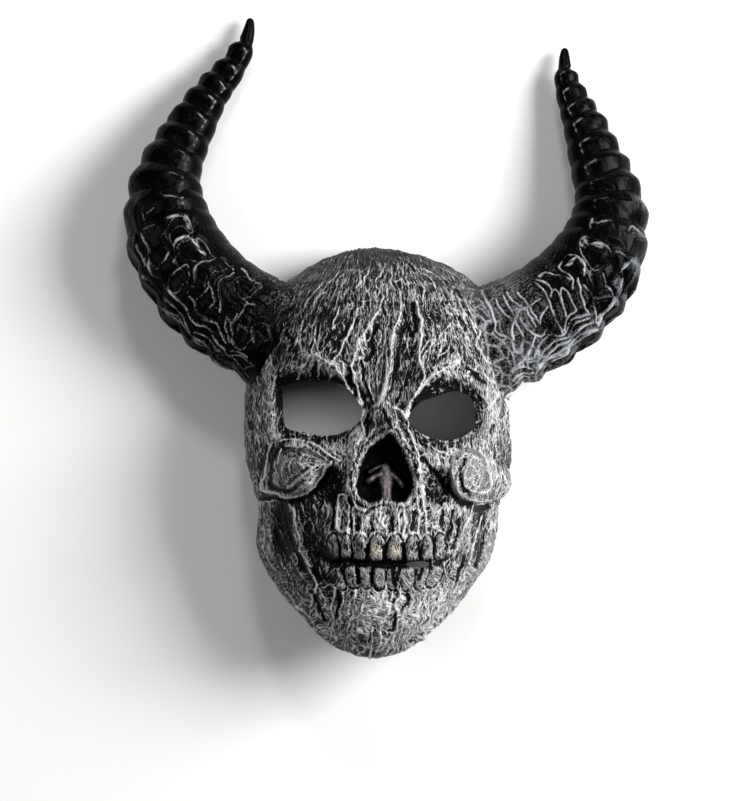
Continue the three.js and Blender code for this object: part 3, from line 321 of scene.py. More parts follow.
FINE_VEINS = strokes("""
    -17.2,49.6 -16.4,40.9 -15.5,33 -17.7,28.7; -0.7,21.7 0.6,16.5 1.9,9.5 -0.3,2.6 -0.7,-4.4 -0.3,-11.4
    0.2,-20.1 -1.1,-27.9; 3.2,41.8 3.7,36.5 2.4,33 3.2,29.6 7.6,25.2 9.3,20; 7.6,47.8 10.2,44.4 9.3,40
    9.8,35.7 5.4,32.2; -8.1,47 -10.7,41.8 -11.1,37.4 -13.3,34.8 -15.1,29.6; -22.9,45.2 -24.6,39.1
    -28.1,35.7 -31.6,32.2; -38.6,33 -43.8,26.1 -47.3,21.7 -50.8,15.6; -29,38.3 -35.1,32.2 -40.3,25.2
    -45.5,17.4 -48.2,9.5; -15.9,28.7 -16.8,21.7 -12.5,20.8 -9,21.7; -12.5,20.8 -15.1,17.4 -17.7,16.5;
    -5.5,43.5 -2,40.9 -2.9,36.5 -6.4,33 -5.5,28.7 -2,24.3; 12.8,42.6 16.3,36.5 19.8,32.2 24.1,27.8;
    15.4,44.4 20.6,39.1 26.7,34.8 30.2,28.7 32.8,21.7; 20.6,41.8 27.6,38.3 34.6,32.2 38.9,25.2
    42.4,17.4; 13.7,26.1 15.4,21.7 18.9,19.1; 24.1,27.8 23.3,21.7 25,14.8 28.5,7.8 28,0.8 26.7,-7.9;
    -28.1,17.4 -29.9,11.3 -32.5,4.3 -33.4,-2.7 -36.8,-7.9 -40.3,-11.4; -52.5,14.8 -50.8,9.5 -51.6,2.6
    -55.1,-4.4 -58.6,-11.4; -36.8,20 -38.6,13 -42.1,6 -43.8,-1.8 -45.5,-10.5; -56,23.5 -60.4,14.8
    -62.1,6 -64.7,-2.7; -61.2,-2.7 -56.9,3.9 -53.4,1.7 -54.3,-2.7 -59.5,-6.2; -33.4,-17.5 -35.1,-21.8
    -33.4,-25.3; -37.7,-7.9 -33.4,-6.2 -28.1,-4.4 -24.6,-2.7; 39.8,8.7 36.3,4.3 33.7,-0.1 31.1,-6.2
    30.7,-13.1; 26.7,4.3 29.4,-0.9 27.6,-6.2 26.7,-11.4; 35.5,20 38.1,13 41.6,6.9 46.8,2.6 50.3,-4.4;
    43.3,23.5 46.8,16.5 52,9.5 54.6,2.6; 38.1,-7.9 34.6,-11.4 31.1,-14; 59,16.5 59.8,9.5 61.1,2.6;
    53.7,9.5 57.2,1.7; 44.2,-15.7 43.3,-22.7 44.6,-27.1; 50.3,-18.3 54.6,-21.8 60.7,-25.3 65.1,-29.7;
    46.8,-4.4 52,-11.4 55.5,-16.6 59,-20.1; 53.7,-35.8 59,-37.5 62.5,-42.7 58.1,-46.2 53.7,-45.3;
    59,-29.7 64.2,-27.9 67.7,-34 64.2,-41.9 60.7,-47.1; 63.3,-4.4 62.5,-11.4 64.2,-18.3 69.4,-20.1;
    -63.8,-35.8 -63,-41.9 -63.8,-46.2 -62.1,-52.3 -63,-58.4; -77.8,-25.3 -76,-34 -73.4,-40.1 -69.1,-42.7
    -67.3,-37.5 -69.1,-31.4 -66.5,-25.3; -75.2,-18.3 -74.3,-24.4 -71.7,-29.7 -70.8,-34; -80.4,-33.2
    -79.5,-41.9 -77.8,-49.7 -74.3,-57.5; -71.7,-7.9 -69.9,-16.6 -66.5,-22.7; -83.9,-46.2 -81.3,-54.9
    -82.1,-63.6; 0.6,-40.1 4.1,-44.5 6.7,-50.6 11.1,-56.7; -5.5,-44.5 -7.2,-49.7 -6.4,-55.8 -9,-61;
    -62.1,-54.1 -56,-57.5 -50.8,-59.3 -43.8,-61 -35.1,-61 -26.4,-58.4 -20.3,-55.8; 15.4,-54.9 22.4,-60.2
    29.4,-63.6 38.1,-64.5 46.8,-62.8 52,-59.3; -8.1,2.6 -5.5,-4.4 -2,-9.6 -5.5,-16.6; 14.5,2.6 12.8,-4.4
    14.5,-11.4 17.2,-16.6; 9.3,-27.1 11.1,-32.3 8.5,-38.4 9.3,-42.7; -15.9,-19.2 -12.5,-25.3 -9,-34
    -6.4,-40.1; -67.3,-74.1 -68.2,-80.2 -65.6,-85.5 -61.2,-90.7; -56,-74.1 -59.5,-79.4 -57.7,-85.5;
    -50.8,-71.5 -52.5,-76.8 -49,-82; -60.4,-67.2 -50.8,-67.2 -43.8,-69.8 -36.8,-75.9; -68.2,-65
    -60.4,-62.8 -52.5,-62.8 -43.8,-66.3; -33.4,-67.2 -28.1,-74.1; -14.2,-109.9 -14.6,-116.8; -5.5,-109.9
    -2,-114.2; 14.5,-108.1 14.5,-120.3; 26.7,-102.9 27.6,-113.3 32.8,-120.3; -50.8,-131.6 -43.8,-129.9
    -36.8,-133.4 -29.9,-136; -42.1,-126.4 -36.8,-130.3 -29.9,-135.1; -31.6,-139.5 -29.9,-143.8
    -26.4,-149.1; -26.4,-138.6 -22.9,-139.5 -19.4,-144.7 -19,-149.9; -16.8,-138.6 -9,-139.5;
    -16.8,-140.3 -15.1,-145.6 -13.3,-152.5; -9,-139.5 -10.7,-145.6 -13.3,-152.5; -0.3,-140.3
    -0.3,-153.4; 13.7,-141.2 20.6,-141.2 18,-148.2 14.5,-149.9; 23.3,-141.2 20.6,-149.1 26.7,-146.4
    31.1,-141.2; -31.6,-149.9 -30.7,-157.8 -33.4,-163.9 -31.6,-170.8; -18.5,-150.8 -19.4,-157.8
    -22.9,-164.7 -23.8,-170; -10.7,-154.3 -11.6,-159.5 -15.1,-163.9 -15.9,-167.3; 3.2,-154.3 2.4,-160.4
    -0.3,-164.7; 14.5,-156 16.3,-161.2 12.8,-165.6 10.2,-167.3; 18,-170 20.6,-176.9 24.1,-179.5
    20.6,-183.9; 31.1,-149.9 32.8,-156 31.1,-162.1 32.8,-164.7; 41.6,-148.2 39.8,-156 40.7,-162.1;
    47.6,-141.2 44.2,-149.9 41.6,-157.8; -23.8,-179.5 -22,-172.6 -16.8,-170 -10.7,-170; -9,-176.9
    -9,-188.2 -9.4,-196.1; -5.5,-178.7 -2.9,-183.9 -6.4,-191.7; 6.7,-170 6.7,-179.5 3.2,-187.4;
    9.3,-170.8 14.5,-170 19.8,-171.7; 7.6,-179.5 13.7,-181.3 17.2,-179.5; 42.4,-102.9 40.7,-113.3
    41.6,-122.1 37.2,-130.8 31.1,-136; 50.3,-120.3 47.6,-131.6 43.3,-140.3; 64.2,-109.9 60.7,-122.1
    58.1,-132.5 55.5,-141.2; 53.7,-82.9 52,-88.1 53.7,-92.4 58.1,-91.6; 63.3,-75 67.7,-82 68.6,-90.7
    66.8,-96.8; 70.3,-75 73.8,-83.7 72.9,-92.4; 40.7,-74.1 39.8,-82 41.6,-89.8 44.2,-95.1; 18.9,-61.1
    26.7,-67.2 34.6,-71.5 41.6,-73.3; 20.6,-73.3 26.7,-71.5 29.4,-75 25.9,-78.5 21.5,-80.2; -70.8,-106.4
    -66.5,-113.3 -63,-123.8; -73.4,-113.3 -69.9,-122.1 -68.2,-129.9; -75.2,-129 -71.7,-136 -66.5,-143.8;
    -65.6,-134.2 -60.4,-143.8 -56,-151.7 -50.8,-162.1; -57.7,-132.5 -54.3,-141.2 -48.2,-149.1;
    -40.3,-141.2 -36.8,-149.1 -32.5,-151.7; -75.2,-99.4 -71.7,-101.2 -65.6,-100.3 -60.4,-102;
    -51.6,-101.2 -49,-109.9 -49.9,-118.6 -46.4,-123.8; -43.8,-102.9 -42.1,-111.6 -43.8,-118.6
    -40.3,-123.8; -37.7,-99.4 -35.1,-106.4 -36.8,-115.1 -34.2,-120.3; -54.3,-106.4 -51.6,-114.2
    -48.2,-122.1; -81.3,-98.5 -79.5,-106.4 -80.4,-114.2; -62.1,-154.3 -54.3,-163.9 -47.3,-170.8
    -40.3,-177.8; -40.3,-155.2 -36.8,-163.9 -39.5,-170 -35.1,-176.9; -28.1,-154.3 -25.5,-160.4
    -28.1,-167.3 -26.4,-175.2; 25,-153.4 23.3,-160.4 25.9,-167.3 23.3,-173.4; 36.3,-134.2 35.5,-143
    37.2,-149.9; 67.7,-106.4 65.9,-115.1 66.8,-123.8
""")

# Cuts between them, which no paint reaches
GROOVES = strokes("""
    -5.9,6 -8.1,-2.7 -9,-11.4 -12.5,-15.7; 9.3,4.3 8.5,-4.4 7.6,-11.4 5.8,-20.1 3.7,-28.8; 15.4,19.1
    18,11.3 18,2.6; -15.1,-15.7 -13.3,-24.4 -10.7,-33.2 -7.7,-40.1; 12.4,-28.8 9.3,-35.8 6.7,-40.1;
    -29.9,-28.8 -24.6,-35.8 -20.3,-42.7; 32.8,-26.6 25.9,-31.4 19.8,-38.4 15.4,-45.3; -32.5,2.6
    -33.4,-2.7 -29,-6.2; -37.7,16.5 -40.3,9.5 -41.2,2.6; -22.9,6 -25.5,0.8 -31.6,-6.2; 11.1,13 12.8,6
    15.4,-0.9; -22.9,-17.5 -22,-24.4 -20.3,-29.7; -42.9,-16.6 -43.8,-22.7 -42.1,-27.1; -60.4,1.7
    -56.9,-2.7 -57.7,-7.9; -10.7,-48 -11.6,-54.9 -11.6,-61.9; -2,-44.5 -0.3,-50.6 3.2,-55.8; 49.4,-20.1
    55.5,-25.3 60.7,-28.8; -83,-51.4 -81.3,-57.5; 65.1,-54.1 64.2,-59.3; 69.4,-16.6 71.2,-25.3
    69.4,-33.2; -78.6,-99.8 -71.7,-99.4 -65.6,-99.2 -59.5,-101.2 -52.5,-99.8 -45.5,-96.4 -40.3,-91.6
    -36,-85.5 -32.5,-79.8; 37.6,-92.4 40.7,-97.7 46.8,-102 54.6,-104.6 62.5,-103.8; -62.1,-102.9
    -60.4,-111.6 -57.7,-122.1 -54.3,-132.5 -49.9,-141.2; 53.7,-106.4 58.1,-105.5 62.9,-105.1;
    -29.9,-137.3 -22.9,-136.4 -15.1,-139 -6.4,-139 2.4,-139.5 9.3,-139 15.4,-137.3 23.3,-137.3
    27.2,-136.4; -22,-98.5 -21.6,-106.4 -21.2,-116.8; 16.3,-106.4 16.7,-116.8; -32.5,-98.5 -32,-106.4
    -31.6,-116.8; 21.5,-75 26.7,-79.4 32.8,-87.2 37.2,-95.1; -10.7,-127.3 -11.6,-134.2; -1.1,-127.3
    -1.1,-136; 10.2,-127.3 10.2,-136; 19.3,-126.4 19.3,-134.2; -17.7,-141.2 -15.9,-149.9; -7.2,-141.2
    -8.1,-149.9 -5.5,-154.3; 4.5,-141.2 5,-151.7; 8.5,-140.3 6.7,-148.2; 22.4,-141.2 19.8,-148.2;
    62.5,-118.6 59,-131.6 54.6,-141.2; 45,-111.6 43.3,-120.3 39.8,-129; 11.9,-156 13.7,-161.2
    10.2,-165.6; 5,-170.8 4.1,-179.5; -45.5,-156 -40.3,-164.7 -36.8,-173.4; -29,-155.2 -28.1,-162.1
    -29.9,-170; -67.3,-118.6 -63.8,-127.3 -58.6,-136; 72.9,-99.4 69.4,-104.6; -35.1,-130.8 -33.4,-136;
    33.7,-106.4 32.8,-115.1; 40.7,-106.4 38.9,-116.8 36.3,-123.8; 47.6,-134.2 44.2,-143 42.4,-149.9;
    -16.4,-110.7 -16.4,-118.6; 3.7,-109.9 3.2,-118.6; -8.5,-113.3 -7.7,-118.6; -65.6,-70.7 -69.5,-77.6
    -70.4,-86.3 -68.2,-92.4 -61.2,-95.1 -54.3,-93.3; 46.8,-75 45,-83.7 45.5,-90.7 50.3,-96.8
""")

# Drawn lines: height or depth, half-width and how well they catch the brush or keep it out
VEIN_FORMS = {"bold": (1.4, 0.7, 1), "fine": (0.9, 0.55, 0.88), "groove": (1.4, 0.8, 1)}
PAINTED_WIDTH = 1.3

# The dip along both sides of a drawn line, as a share of its height and in half-widths
DITCH = {"share": 0.45, "away": 2.7, "width": 1.1}

# The woven net of the skin: width and length of its meshes, seed, and half-width and height of its strands
NETS = {
    "strands": {"mesh": (5.2, 15), "seed": 21, "half": 0.75, "height": 0.9},
    "threads": {"mesh": (2.9, 7), "seed": 22, "half": 0.5, "height": 0.5},
}

# The rope of beads round the nose: its two strands and the groove between them, from the nose's outline
ROPE = {"strand": 1.2, "groove": 3.2, "outer": 5.2, "half": 0.8, "height": 0.9, "depth": 0.5}
OUTER_ROPE = 0.85

# Layers of noise: height, scale and seed of each
WOBBLES = {
    "flow_across": ((2.6, 17, 11), (1.3, 7, 12)),
    "flow_curl": ((0.5, 3.2, 15),),
    "flow_along": ((2.4, 13, 13), (0.6, 4, 16)),
    "cheek_rim": ((1.5, 8, 14),),
    "threads": ((0.9, 3.5, 33),),
    "line_x": ((0.9, 4.5, 41), (0.35, 1.7, 43)),
    "line_y": ((0.9, 4.5, 42), (0.35, 1.7, 44)),
    "lumps": ((0.6, 6, 46),),
    "rope": ((0.5, 3, 49),),
    "tooth_x": ((0.5, 4, 62),),
    "tooth_y": ((0.6, 5, 63),),
}

# Strengths that change from place to place: middle, spread, scale and seed
UNEVEN = {
    "strands": (0.45, 0.75, 16, 31), "threads": (0.55, 0.6, 9, 32), "lines": (0.86, 0.14, 5, 45),
    "beads": (0.75, 0.25, 2.3, 47), "tooth_rim": (0.75, 0.25, 3, 48), "septum": (1, 0.16, 1.8, 61),
}

# How well the brush catches on what is raised, and how dark the hollows stay
CATCHES = {"gum": 0.9, "tooth_rim": 0.72, "rope": 0.8}
DARKS = {"nose": 0.9, "tooth_gap": 0.8, "rope": 0.6}
ON_TOOTH = 0.7

# What stands proud of its surroundings: cells compared, the height that counts in full, and the range
PROUDER = {"broad": (14, 3, (-1, 0.5)), "edge": (3, 0.8, (-1, 1))}

# Where more or less paint was brushed on, with painted shade on the left side, under the left cheekbone and
# at the root of the nose, and painted light on the right side: centre, radii and amount
PAINT_AND_SHADE_PATCHES, = strokes("""
    -8,52,60,12,-0.4 62,-40,12,34,0.34 56,-85,20,17,0.18 -56,-83,20,17,-0.04 -45,-124,14,24,-0.38
    55,-122,16,28,0.26 2,-113,26,9,0.24 -36,-147,10,12,-0.15 4,-51,10,9,-0.2 11,-6,5,17,0.12
    -67,-112,10,14,-0.15 2,-172,32,22,0.45 -11,-8,4,16,-0.08 38,5,24,26,0.02 -38,-24,16,6,0.2
    -4,12,22,22,0.08 36,-152,16,20,0.26 -9,-162,11,8,0.25 -13,-184,10,10,-0.3 12,-181,8,8,0.1
    6,-157,4,9,-0.35 20,-190,20,5,0.3 -14,-198,20,4,0.2 -42,8,22,24,-0.14 30,-24,20,9,-0.12
    -68,-30,10,40,-0.15 32,-95,9,11,0.34 0,-112,30,5,0.1
""")

# The roof of each eye hole is left dark, bare of paint and with painted shade under the brow, and the lid
# under it caught the brush: level and reach for each eye
EYE_ROOFS = {"left": (-40, 3.5), "right": (-46, 9)}
ROOF_SHADE = {"bare": 0.45, "start": 0.5, "fades": (-3, 8)}
LID = {"paint": 0.3, "reach": (1, 9), "fades": (3, -8)}

# The flow of the veins: how closely they gather towards the crown, and to the root of the nose
FLOW_GATHER = {
    "y": [-230, -190, -140, -100, -45, 0, 60, 110, 160],
    "breadth": [0.8, 0.85, 0.9, 0.96, 1, 0.84, 0.5, 0.42, 0.4],
}
FLOW_PINCH = {"x": -2.4, "y": -42, "reach": 30, "strength": 1.2, "above": 34, "below": 16}

# On the chin the veins run looser, and round each cheekbone they follow its rim
FLOW_CHIN = {"from": -140, "to": -160, "loose": 1.6, "across": 0.25, "along": 0.45}
FLOW_CHEEK = {"within": (-1, -4), "turn": 24}


def smoothstep(low, high, value):
    t = np.clip((value - low) / (high - low), 0, 1)
    return t * t * (3 - 2 * t)


def bump(distance, width):
    """A rounded ridge: 1 on its line, and falling away over its half-width."""
    return np.exp(-((distance / width) ** 2))


def read_table(places, values, at):
    """A smooth curve through the values of a table, read at the places asked for."""
    places = np.asarray(places, float)
    values = np.asarray(values, float)
    ends = np.arange(len(places))
    after = np.minimum(ends + 1, len(places) - 1)
    before = np.maximum(ends - 1, 0)
    slopes = (values[after] - values[before]) / (places[after] - places[before])
    i = np.clip(np.searchsorted(places, at), 1, len(places) - 1)
    span = places[i] - places[i - 1]
    t = np.clip((at - places[i - 1]) / span, 0, 1)
    blend = t * t * (3 - 2 * t)
    bend = t * (1 - t) * ((1 - t) * slopes[i - 1] - t * slopes[i]) * span
    return values[i - 1] * (1 - blend) + values[i] * blend + bend


def smooth_line(points, steps, closed=False):
    """Evenly numbered points on a centripetal Catmull-Rom curve through the points given."""
    points = np.asarray(points, float)
    if closed:
        path = np.concatenate([points[-1:], points, points[:2]])
    else:
        path = np.concatenate([[2 * points[0] - points[1]], points, [2 * points[-1] - points[-2]]])
    spans = len(path) - 3
    places = np.linspace(0, spans, steps, endpoint=not closed)
    k = np.minimum(places.astype(int), spans - 1)
    t = (places - k)[:, None]
    a, b, c, d = (path[k + n] for n in range(4))
    first, second, third = (
        np.sqrt(np.linalg.norm(q - p, axis=1, keepdims=True)) for p, q in ((a, b), (b, c), (c, d))
    )
    leave = second * ((b - a) / first - (c - a) / (first + second) + (c - b) / second)
    arrive = second * ((c - b) / second - (d - b) / (second + third) + (d - c) / third)
    square, cube = t * t, t * t * t
    return (
        b * (2 * cube - 3 * square + 1) + leave * (cube - 2 * square + t)
        + c * (3 * square - 2 * cube) + arrive * (cube - square)
    )


def distance_to_line(x, y, line):
    nearest = np.full(np.shape(x), np.inf)
    for (ax, ay), (bx, by) in zip(line[:-1], line[1:]):
        dx, dy = bx - ax, by - ay
        t = np.clip(((x - ax) * dx + (y - ay) * dy) / (dx * dx + dy * dy), 0, 1)
        nearest = np.minimum(nearest, (x - ax - t * dx) ** 2 + (y - ay - t * dy) ** 2)
    return np.sqrt(nearest)


def raised_lines(x, y, strokes):
    """The height of lines, each with its height and half-width, and half-widths to the nearest of them."""
    height = np.zeros_like(x)
    away = np.full_like(x, 9.0)
    for line, high, width in strokes:
        curve = smooth_line(line, 4 * len(line))
        low, top = curve.min(axis=0) - 5 * width, curve.max(axis=0) + 5 * width
        near = (x > low[0]) & (x < top[0]) & (y > low[1]) & (y < top[1])
        distance = distance_to_line(x[near], y[near], curve) / width
        height[near] = np.maximum(height[near], high * bump(distance, 1))
        away[near] = np.minimum(away[near], distance)
    return height, away


def distance_to_outline(x, y, outline):
    """The distance to a closed outline, negative inside it."""
    inside = np.zeros(np.shape(x), bool)
    for (ax, ay), (bx, by) in zip(np.roll(outline, 1, axis=0), outline):
        if ay == by:
            continue
        crosses = ((ay > y) != (by > y)) & (x < (bx - ax) * (y - ay) / (by - ay) + ax)
        inside ^= crosses
    nearest = distance_to_line(x, y, np.concatenate([outline, outline[:1]]))
    return np.where(inside, -nearest, nearest)


def noise(x, y, scale, seed):
    """Smooth noise from -1 to 1, with bumps about as wide as the scale."""
    table = np.random.default_rng(seed).random((256, 256))
    u, v = np.asarray(x) / scale, np.asarray(y) / scale
    i, j = np.floor(u).astype(int), np.floor(v).astype(int)
    fu, fv = u - i, v - j
    fu, fv = fu * fu * (3 - 2 * fu), fv * fv * (3 - 2 * fv)
    low = table[i % 256, j % 256] * (1 - fu) + table[(i + 1) % 256, j % 256] * fu
    high = table[i % 256, (j + 1) % 256] * (1 - fu) + table[(i + 1) % 256, (j + 1) % 256] * fu
    return 2 * (low * (1 - fv) + high * fv) - 1


def wobble(x, y, name):
    """Layers of noise, as the table gives them."""
    return sum(height * noise(x, y, scale, seed) for height, scale, seed in WOBBLES[name])


def uneven(x, y, name):
    """A strength that changes from place to place."""
    middle, spread, scale, seed = UNEVEN[name]
    return middle + spread * noise(x, y, scale, seed)


def net_distance(across, along, width, length, seed, jitter=0.85):
    """The distance to the nearest strand of a net whose meshes have the width and length given."""
    table = np.random.default_rng(seed).random((256, 256, 2))
    u, v = across / width, along / length
    i, j = np.floor(u).astype(int), np.floor(v).astype(int)
    knots = []
    for di in range(-2, 3):
        for dj in range(-2, 3):
            shift = table[(i + di) % 256, (j + dj) % 256]
            stagger = 0.5 * ((i + di) % 2)
            ku = i + di + 0.5 + jitter * (shift[..., 0] - 0.5) - u
            kv = j + dj + stagger + jitter * (shift[..., 1] - 0.5) - v
            knots.append((ku, kv))
    ku = np.stack([k[0] for k in knots])
    kv = np.stack([k[1] for k in knots])
    near = np.argmin(ku * ku + kv * kv, axis=0)
    nu = np.take_along_axis(ku, near[None], 0)
    nv = np.take_along_axis(kv, near[None], 0)
    du, dv = ku - nu, kv - nv
    slope = np.sqrt((du / width) ** 2 + (dv / length) ** 2)
    strand = ((ku + nu) * du + (kv + nv) * dv) / 2
    distance = np.where(slope > 1e-9, strand / np.maximum(slope, 1e-9), np.inf)
    return distance.min(axis=0)


def disc_grid(cells):
    """A square grid of points moved into the unit disc ring by ring."""
    steps = np.linspace(-1, 1, cells + 1)
    u, v = np.meshgrid(steps, steps)
    ring = np.maximum(abs(u), abs(v))
    sideways = abs(u) > abs(v)
    safe_u = np.where(u == 0, 1, u)
    safe_v = np.where(v == 0, 1, v)
    turn = np.where(sideways, math.pi / 4 * v / safe_u, math.pi / 2 - math.pi / 4 * u / safe_v)
    side = np.where(np.where(sideways, u, v) < 0, -1, 1)
    return (side * ring * np.cos(turn)).ravel(), (side * ring * np.sin(turn)).ravel()


def rim_height(towards_chin):
    return CHIN_RIM["height"] * smoothstep(CHIN_RIM["start"], CHIN_RIM["end"], towards_chin)


def breadths(up):
    """How far the face reaches to the left and to the right, at heights from -1 at the chin to 1."""
    return [read_table(BREADTHS["up"], BREADTHS[side], up) for side in ("left", "right")]


def dome(p, q):
    """The plain dome of the face at places in the unit disc."""
    ring = np.clip(np.hypot(p, q), 1e-9, 1)
    reach = np.sin(math.pi / 2 * (RING_SPREAD * ring + (1 - RING_SPREAD) * ring ** 3))
    across, up = reach * p / ring, reach * q / ring
    even = smoothstep(-0.25, 0.25, across)
    left, right = breadths(up)
    rim = rim_height(-q / ring)
    z = rim + (FACE_DEPTH - rim) * np.maximum(0, 1 - reach ** DOME_POWER) ** (1 / DOME_POWER)
    pinch = 1 - RIM_PINCH["share"] * (1 - np.minimum(1, (z - rim) / RIM_PINCH["height"])) ** 2
    x = FACE_AXIS[0] + (left * (1 - even) + right * even) * across * pinch
    y = FACE_AXIS[1] + FACE_HEIGHT / 2 * up * pinch
    return np.stack([x, y, z], axis=-1)


def dome_normal(p, q):
    step = 1e-3
    p, q = p * (1 - 3 * step), q * (1 - 3 * step)
    across = dome(p + step, q) - dome(p - step, q)
    along = dome(p, q + step) - dome(p, q - step)
    normal = np.cross(across, along)
    return normal / np.linalg.norm(normal, axis=1, keepdims=True)


def share_of_wall(points):
    """Where points lie between the middle of the dome, 0, and its surface, 1, at their own height."""
    x, y, z = points[..., 0], points[..., 1], points[..., 2]
    up = (y - FACE_AXIS[1]) / (FACE_HEIGHT / 2)
    breadth = np.where(x < FACE_AXIS[0], *breadths(up))
    pinch = 1 - RIM_PINCH["share"] * (1 - np.clip(z / RIM_PINCH["height"], 0, 1)) ** 2
    across = (x - FACE_AXIS[0]) / breadth
    high = np.clip(z / FACE_DEPTH, 0, 0.999)
    return np.hypot(across, up) / pinch / (1 - high ** DOME_POWER) ** (1 / DOME_POWER)


def sunk(x, y, margin, outlines):
    """How far the face sinks, with each hollow grown by the margin."""
    depth = np.zeros_like(x)
    for cx, cy, rx, ry, deep in HOLLOWS:
        away = np.hypot((x - cx) / (rx + margin), (y - cy) / (ry + margin))
        depth += deep * np.clip(1 - away * away, 0, 1) ** 1.5
    for eye in ("left", "right"):
        away = outlines[eye] - margin
        depth = np.maximum(depth, SOCKET["depth"] * (1 - smoothstep(0, SOCKET["reach"], away)))
    depth = np.maximum(depth, NOSE_DEPTH * smoothstep(*NOSE_EDGES["wall"], margin - outlines["nose"]))
    off_mouth = distance_to_line(x, y, MOUTH_LINE)
    depth += MOUTH_GAP["depth"] * bump(off_mouth, MOUTH_GAP["width"] + margin)
    return depth + MOUTH_BED["depth"] * np.exp(-((off_mouth / (MOUTH_BED["width"] + margin)) ** 6))


def septum_height(x, y):
    """The stem inside the nose, with its wings."""
    down = (SEPTUM["top"] - y) / (SEPTUM["top"] - SEPTUM["bottom"])
    half_width = read_table(SEPTUM_WIDTHS["down"], SEPTUM_WIDTHS["half"], down)
    across = abs(x - (SEPTUM["x"] + SEPTUM["lean"] * down)) / half_width
    stem = SEPTUM["height"] * np.exp(-(across ** 3)) * smoothstep(*SEPTUM["rises"], down)
    stem = stem * (SEPTUM_ROOT + (1 - SEPTUM_ROOT) * down)
    return np.maximum(stem, raised_lines(x, y, SEPTUM_WINGS)[0]) * uneven(x, y, "septum")


def tooth_places(row):
    """The middle, width, side and place from the midline of each tooth of a row."""
    places = []
    for side in (-1, 1):
        edge = 0
        for place, pitch in enumerate(row["pitch"]):
            places.append((TOOTH_MIDLINE + side * (edge + pitch / 2), pitch - TOOTH_GAP, side, place))
            edge += pitch
    return places


def swollen(x, y):
    """The broad swellings of the brows, the jaws and the chin."""
    height = np.zeros_like(x)
    for cx, cy, rx, ry, high, power in SWELLINGS:
        away = np.hypot((x - cx) / rx, (y - cy) / ry)
        height += high * np.clip(1 - away ** power, 0, 1)
    return height


def cheekbone_height(x, y, outline):
    """A cheekbone, soft on its upper side and steep underneath."""
    level = np.mean(outline, axis=0)[1]
    inwards = -distance_to_outline(x, y, smooth_line(outline, 60, closed=True)) / CHEEKBONE["reach"]
    inwards = np.clip(inwards, 0, 1)
    lower = smoothstep(level + CHEEKBONE["soft_over"], level + CHEEKBONE["steep_under"], y)
    steep, soft = np.sqrt(1 - (1 - inwards) ** 2), smoothstep(0, 1, inwards)
    return CHEEKBONE["height"] * (lower * steep + (1 - lower) * soft)


def proud(x, y, outlines):
    """How far the carved forms of the face stand proud."""
    height = sum(cheekbone_height(x, y, outline) for outline in CHEEKBONES)
    for line, high, width in RIDGES:
        height += high * bump(distance_to_line(x, y, line), width)
    for middle, _, _, _ in tooth_places(UPPER_TEETH):
        flute = [(middle * 0.9, FLUTES["top"]), (middle, FLUTES["bottom"])]
        height += FLUTES["height"] * bump(distance_to_line(x, y, flute), FLUTES["width"])
    height += NOSE_RIM["height"] * bump(outlines["nose"] - NOSE_RIM["away"], NOSE_RIM["width"])
    height *= smoothstep(*NOSE_EDGES["forms"], outlines["nose"])
    return height + septum_height(x, y) * (1 - smoothstep(*NOSE_EDGES["septum"], outlines["nose"]))


def on_tooth(x, y, row, middle, width, side, place):
    """How far each point lies from a tooth's middle, where 1 is its edge, and how far up it."""
    turn = side * row["lean"] * place
    dx = x - middle + wobble(x, y, "tooth_x")
    dy = y - row["y"] + wobble(x, y, "tooth_y") - TOOTH["crooked"] * side * math.sin(5 * place)
    u = (dx * math.cos(turn) - dy * math.sin(turn)) / (width / 2)
    v = (dx * math.sin(turn) + dy * math.cos(turn)) / (row["height"] / 2)
    towards_gum = v if row is UPPER_TEETH else -v
    narrowing = 1 - 0.1 * v * v
    power = TOOTH["corners"] - row["arch"] * smoothstep(*TOOTH["arched"], towards_gum)
    return (abs(u / narrowing) ** power + abs(v) ** power) ** (1 / power), v, towards_gum


def teeth(x, y):
    """The height of the teeth, and where teeth, ivory, their rims, the gaps and the gum's edge are."""
    found = {name: np.zeros_like(x) for name in ("height", "tooth", "ivory", "rim", "gap", "gum")}
    for row in (UPPER_TEETH, LOWER_TEETH):
        for middle, width, side, place in tooth_places(row):
            edge, v, towards_gum = on_tooth(x, y, row, middle, width, side, place)
            here = {name: bump(edge - away, half) for name, (away, half) in TOOTH_LINES.items()}
            here["rim"] = here["rim"] * uneven(x, y, "tooth_rim")
            here["gum"] = here["gum"] * smoothstep(*GUM["over_root"], towards_gum) * (edge < GUM["reach"])
            here["height"] = row["proud"] * np.clip(1 - edge ** 3, 0, 1) ** TOOTH["fullness"]
            here["tooth"] = smoothstep(*TOOTH["edge"], edge)
            if row is UPPER_TEETH and place == 0:
                tip = smoothstep(*IVORY["middle"], edge) * smoothstep(*IVORY["tip"], v)
                here["ivory"] = here["tooth"] * tip
            for name, values in here.items():
                found[name] = np.maximum(found[name], values)
    found["gap"] = found["gap"] * (1 - found["tooth"])
    return found


def unrolled(p, q, steps=24):
    """The face laid out flat from its middle, so that a pattern isn't stretched down the side walls."""
    middle = dome(np.zeros(1), np.zeros(1))[0]
    last = np.broadcast_to(middle, (len(p), 3))
    walked = np.zeros(len(p))
    for k in range(1, steps + 1):
        here = dome(p * k / steps, q * k / steps)
        walked += np.linalg.norm(here - last, axis=1)
        last = here
    flat = last[:, :2] - middle[:2]
    straight = np.maximum(np.linalg.norm(flat, axis=1), 1e-6)
    return middle[0] + flat[:, 0] * walked / straight, middle[1] + flat[:, 1] * walked / straight


